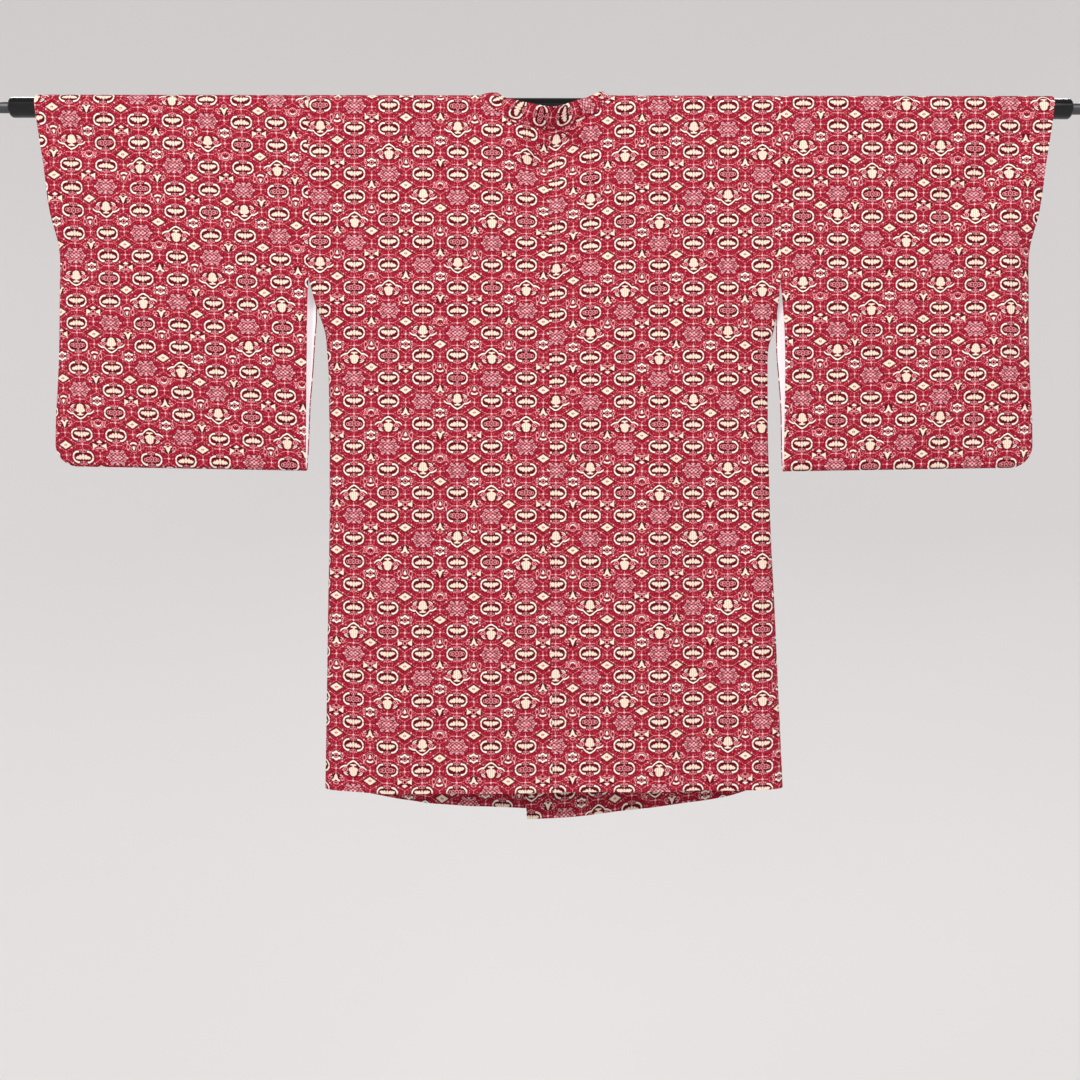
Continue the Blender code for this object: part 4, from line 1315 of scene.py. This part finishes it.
def make_collar(crepe):
    """The folded collar band, its print turned to run along it."""
    stations = collar_stations()
    lengths = [0.0]
    for (inner, _), (later, _) in zip(stations, stations[1:]):
        lengths.append(lengths[-1] + (later - inner).length)
    rows = [(index, *station) for index, station in enumerate(stations)]
    at_back = [row for row in rows if row[1].y < COLLAR_BACK_Y]
    middle = min(at_back, key=lambda row: abs(row[1].x - COLLAR_PRINT_X))
    start = (COLLAR_PRINT_ROW + 0.5) * PITCH_DOWN + lengths[middle[0]]
    column = (COLLAR_PRINT_COLUMN + 0.5) * PITCH_ACROSS - COLLAR_PRINT_RISE

    def place(across, row):
        index, inner, outer = row
        outer = outer + (inner - outer).normalized() * COLLAR_GAP
        point = outer.lerp(inner, across)
        away = Vector((0, point.y, max(point.z, 0))).normalized()
        point += away * COLLAR_CROWN * math.sin(math.pi * across)
        return point, (column + across * (inner - outer).length, start - lengths[index])

    columns = [step / COLLAR_COLUMNS for step in range(COLLAR_COLUMNS + 1)]
    cloth = cloth_grid(columns, rows, place)
    wall = {"soft": COLLAR_EDGE_SOFT, "segments": 3}
    hang_sheet(cloth, "collar", crepe, "outer_cloth", COLLAR_THICK, flat=(0.028, lengths[-1]), **wall)


def make_button(name, drop, crepe):
    """A cloth-covered button on the left front band."""
    ball = bmesh.new()
    bmesh.ops.create_uvsphere(ball, u_segments=48, v_segments=24, radius=BUTTON_RADIUS, calc_uvs=True)
    printed = ball.loops.layers.uv.new("cloth")
    for vert in ball.verts:
        for loop in vert.link_loops:
            loop[printed].uv = (BUTTON_PRINT[0] + vert.co.x, BUTTON_PRINT[1] + vert.co.y)
        vert.co.z = max(vert.co.z * BUTTON_DOME / BUTTON_RADIUS, -BUTTON_EDGE)
    lowest = drop + BUTTON_RADIUS
    seat = max(body_depth(-1, 1, BUTTON_X, drop), body_depth(-1, 1, BUTTON_X, lowest))
    out = seat + CLOTH_THICK + SEAM_GAP + BUTTON_EDGE
    for vert in ball.verts:
        vert.co = Vector((BUTTON_X + vert.co.x, out + vert.co.z, -drop - vert.co.y))
    bmesh.ops.recalc_face_normals(ball, faces=ball.faces)
    finish_piece(ball, f"{name}_cloth", crepe, [name])


def make_rod_piece(name, low_x, high_x, radius, rounding, material):
    """A round bar along X with softened ends."""
    bar = bmesh.new()
    length = high_x - low_x
    bmesh.ops.create_cone(
        bar, cap_ends=True, segments=ROD_SIDES, radius1=radius, radius2=radius, depth=length
    )
    rims = [edge for edge in bar.edges if abs(edge.verts[0].co.z - edge.verts[1].co.z) < length / 2]
    bmesh.ops.bevel(
        bar, geom=rims, offset=rounding, segments=5, profile=0.5, affect="EDGES", material=-1
    )
    for vert in bar.verts:
        vert.co = Vector(((low_x + high_x) / 2 + vert.co.z, vert.co.x, vert.co.y))
    bmesh.ops.recalc_face_normals(bar, faces=bar.faces)
    made = finish_piece(bar, f"{name}_bar", material, [name])
    made.data.set_sharp_from_angle(angle=ROD_SHARP_ANGLE)


def make_rod():
    enamel = rod_enamel()
    steel = rod_steel()
    make_rod_piece(
        "rod_tube", ROD_TUBE_LEFT, ROD_TUBE_RIGHT, ROD_RADIUS, ROD_CAP_ROUND, enamel
    )
    left = ROD_TUBE_LEFT - SEAM_GAP
    right = ROD_TUBE_RIGHT + SEAM_GAP
    make_rod_piece(
        "rod_end_left", left - ROD_END_LENGTH, left, ROD_END_RADIUS, ROD_END_ROUND, steel
    )
    make_rod_piece(
        "rod_end_right", right, right + ROD_END_LENGTH, ROD_END_RADIUS, ROD_END_ROUND, steel
    )


def make_studio():
    """A pale floor that curves up into a rim far out on every side, so that no view looks past it."""
    bowl = bmesh.new()
    profile = [(0.0, FLOOR_HEIGHT), (BOWL_FLAT, FLOOR_HEIGHT)]
    for angle in range(6, 91, 6):
        turn = math.radians(angle)
        height = FLOOR_HEIGHT + BOWL_ROUND * (1 - math.cos(turn))
        profile.append((BOWL_FLAT + BOWL_ROUND * math.sin(turn), height))
    profile.append((BOWL_FLAT + BOWL_ROUND, BOWL_RIM))
    verts = [bowl.verts.new((radius, 0, height)) for radius, height in profile]
    edges = [bowl.edges.new(pair) for pair in zip(verts, verts[1:])]
    bmesh.ops.spin(
        bowl, geom=verts + edges, cent=(0, 0, 0), axis=(0, 0, 1), angle=math.tau, steps=96, use_merge=True
    )
    bmesh.ops.remove_doubles(bowl, verts=bowl.verts, dist=0.0001)
    bmesh.ops.recalc_face_normals(bowl, faces=bowl.faces)
    bmesh.ops.reverse_faces(bowl, faces=bowl.faces)
    mesh = bpy.data.meshes.new("studio_floor")
    bowl.to_mesh(mesh)
    bowl.free()
    mesh.shade_smooth()
    mesh.materials.append(pale_ground())
    floor = bpy.data.objects.new("studio_floor", mesh)
    bpy.context.scene.collection.objects.link(floor)


def make_light(lamp, prefix, turn):
    """A lamp, or where turn is -1 the same lamp turned half round to the coat's front."""
    light = bpy.data.lights.new(prefix + lamp.name, "AREA")
    light.shape = "DISK"
    light.size = lamp.size
    light.energy = lamp.energy
    light.color = lamp.colour
    place = Vector((turn * lamp.place[0], turn * lamp.place[1], lamp.place[2]))
    made = bpy.data.objects.new(prefix + lamp.name, light)
    made.location = place
    made.rotation_euler = (LIGHT_AIM - place).to_track_quat("-Z", "Y").to_euler()
    bpy.context.scene.collection.objects.link(made)


def make_lights():
    """Two soft lamps above each side of the coat, the left one stronger, and an even room."""
    for prefix, turn in (("", 1), ("front_", -1)):
        for lamp in LAMPS:
            make_light(lamp, prefix, turn)
    world = bpy.data.worlds.new("soft_room")
    world.use_nodes = True
    room = world.node_tree.nodes["Background"].inputs
    settle(room, {"Color": (1.0, 0.99, 0.985, 1.0), "Strength": ROOM_LIGHT})
    bpy.context.scene.world = world
    bpy.context.scene.view_settings.view_transform = "Standard"


def make_camera():
    """The photograph's view: level, and straight at the coat's back."""
    lens = bpy.data.cameras.new("camera")
    lens.sensor_width = CAMERA_SENSOR_MM
    lens.lens = CAMERA_LENS_MM
    lens.clip_end = CAMERA_FAR
    made = bpy.data.objects.new("camera", lens)
    made.location = CAMERA_PLACE
    made.rotation_euler = (math.pi / 2, CAMERA_ROLL, 0)
    bpy.context.scene.collection.objects.link(made)
    bpy.context.scene.camera = made


def make_coat():
    crepe = printed_crepe()
    silk = lining_silk()
    make_body(-1, "body_left", crepe)
    make_body(1, "body_right", crepe)
    make_sleeve(-1, "sleeve_left", "sleeve_lining_left", crepe, silk)
    make_sleeve(1, "sleeve_right", "sleeve_lining_right", crepe, silk)
    make_band(-1, "front_band_left", crepe)
    make_band(1, "front_band_right", crepe)
    make_collar(crepe)
    for name, drop in BUTTON_DROPS.items():
        make_button(name, drop, crepe)


make_studio()
make_lights()
make_camera()
make_coat()
make_rod()
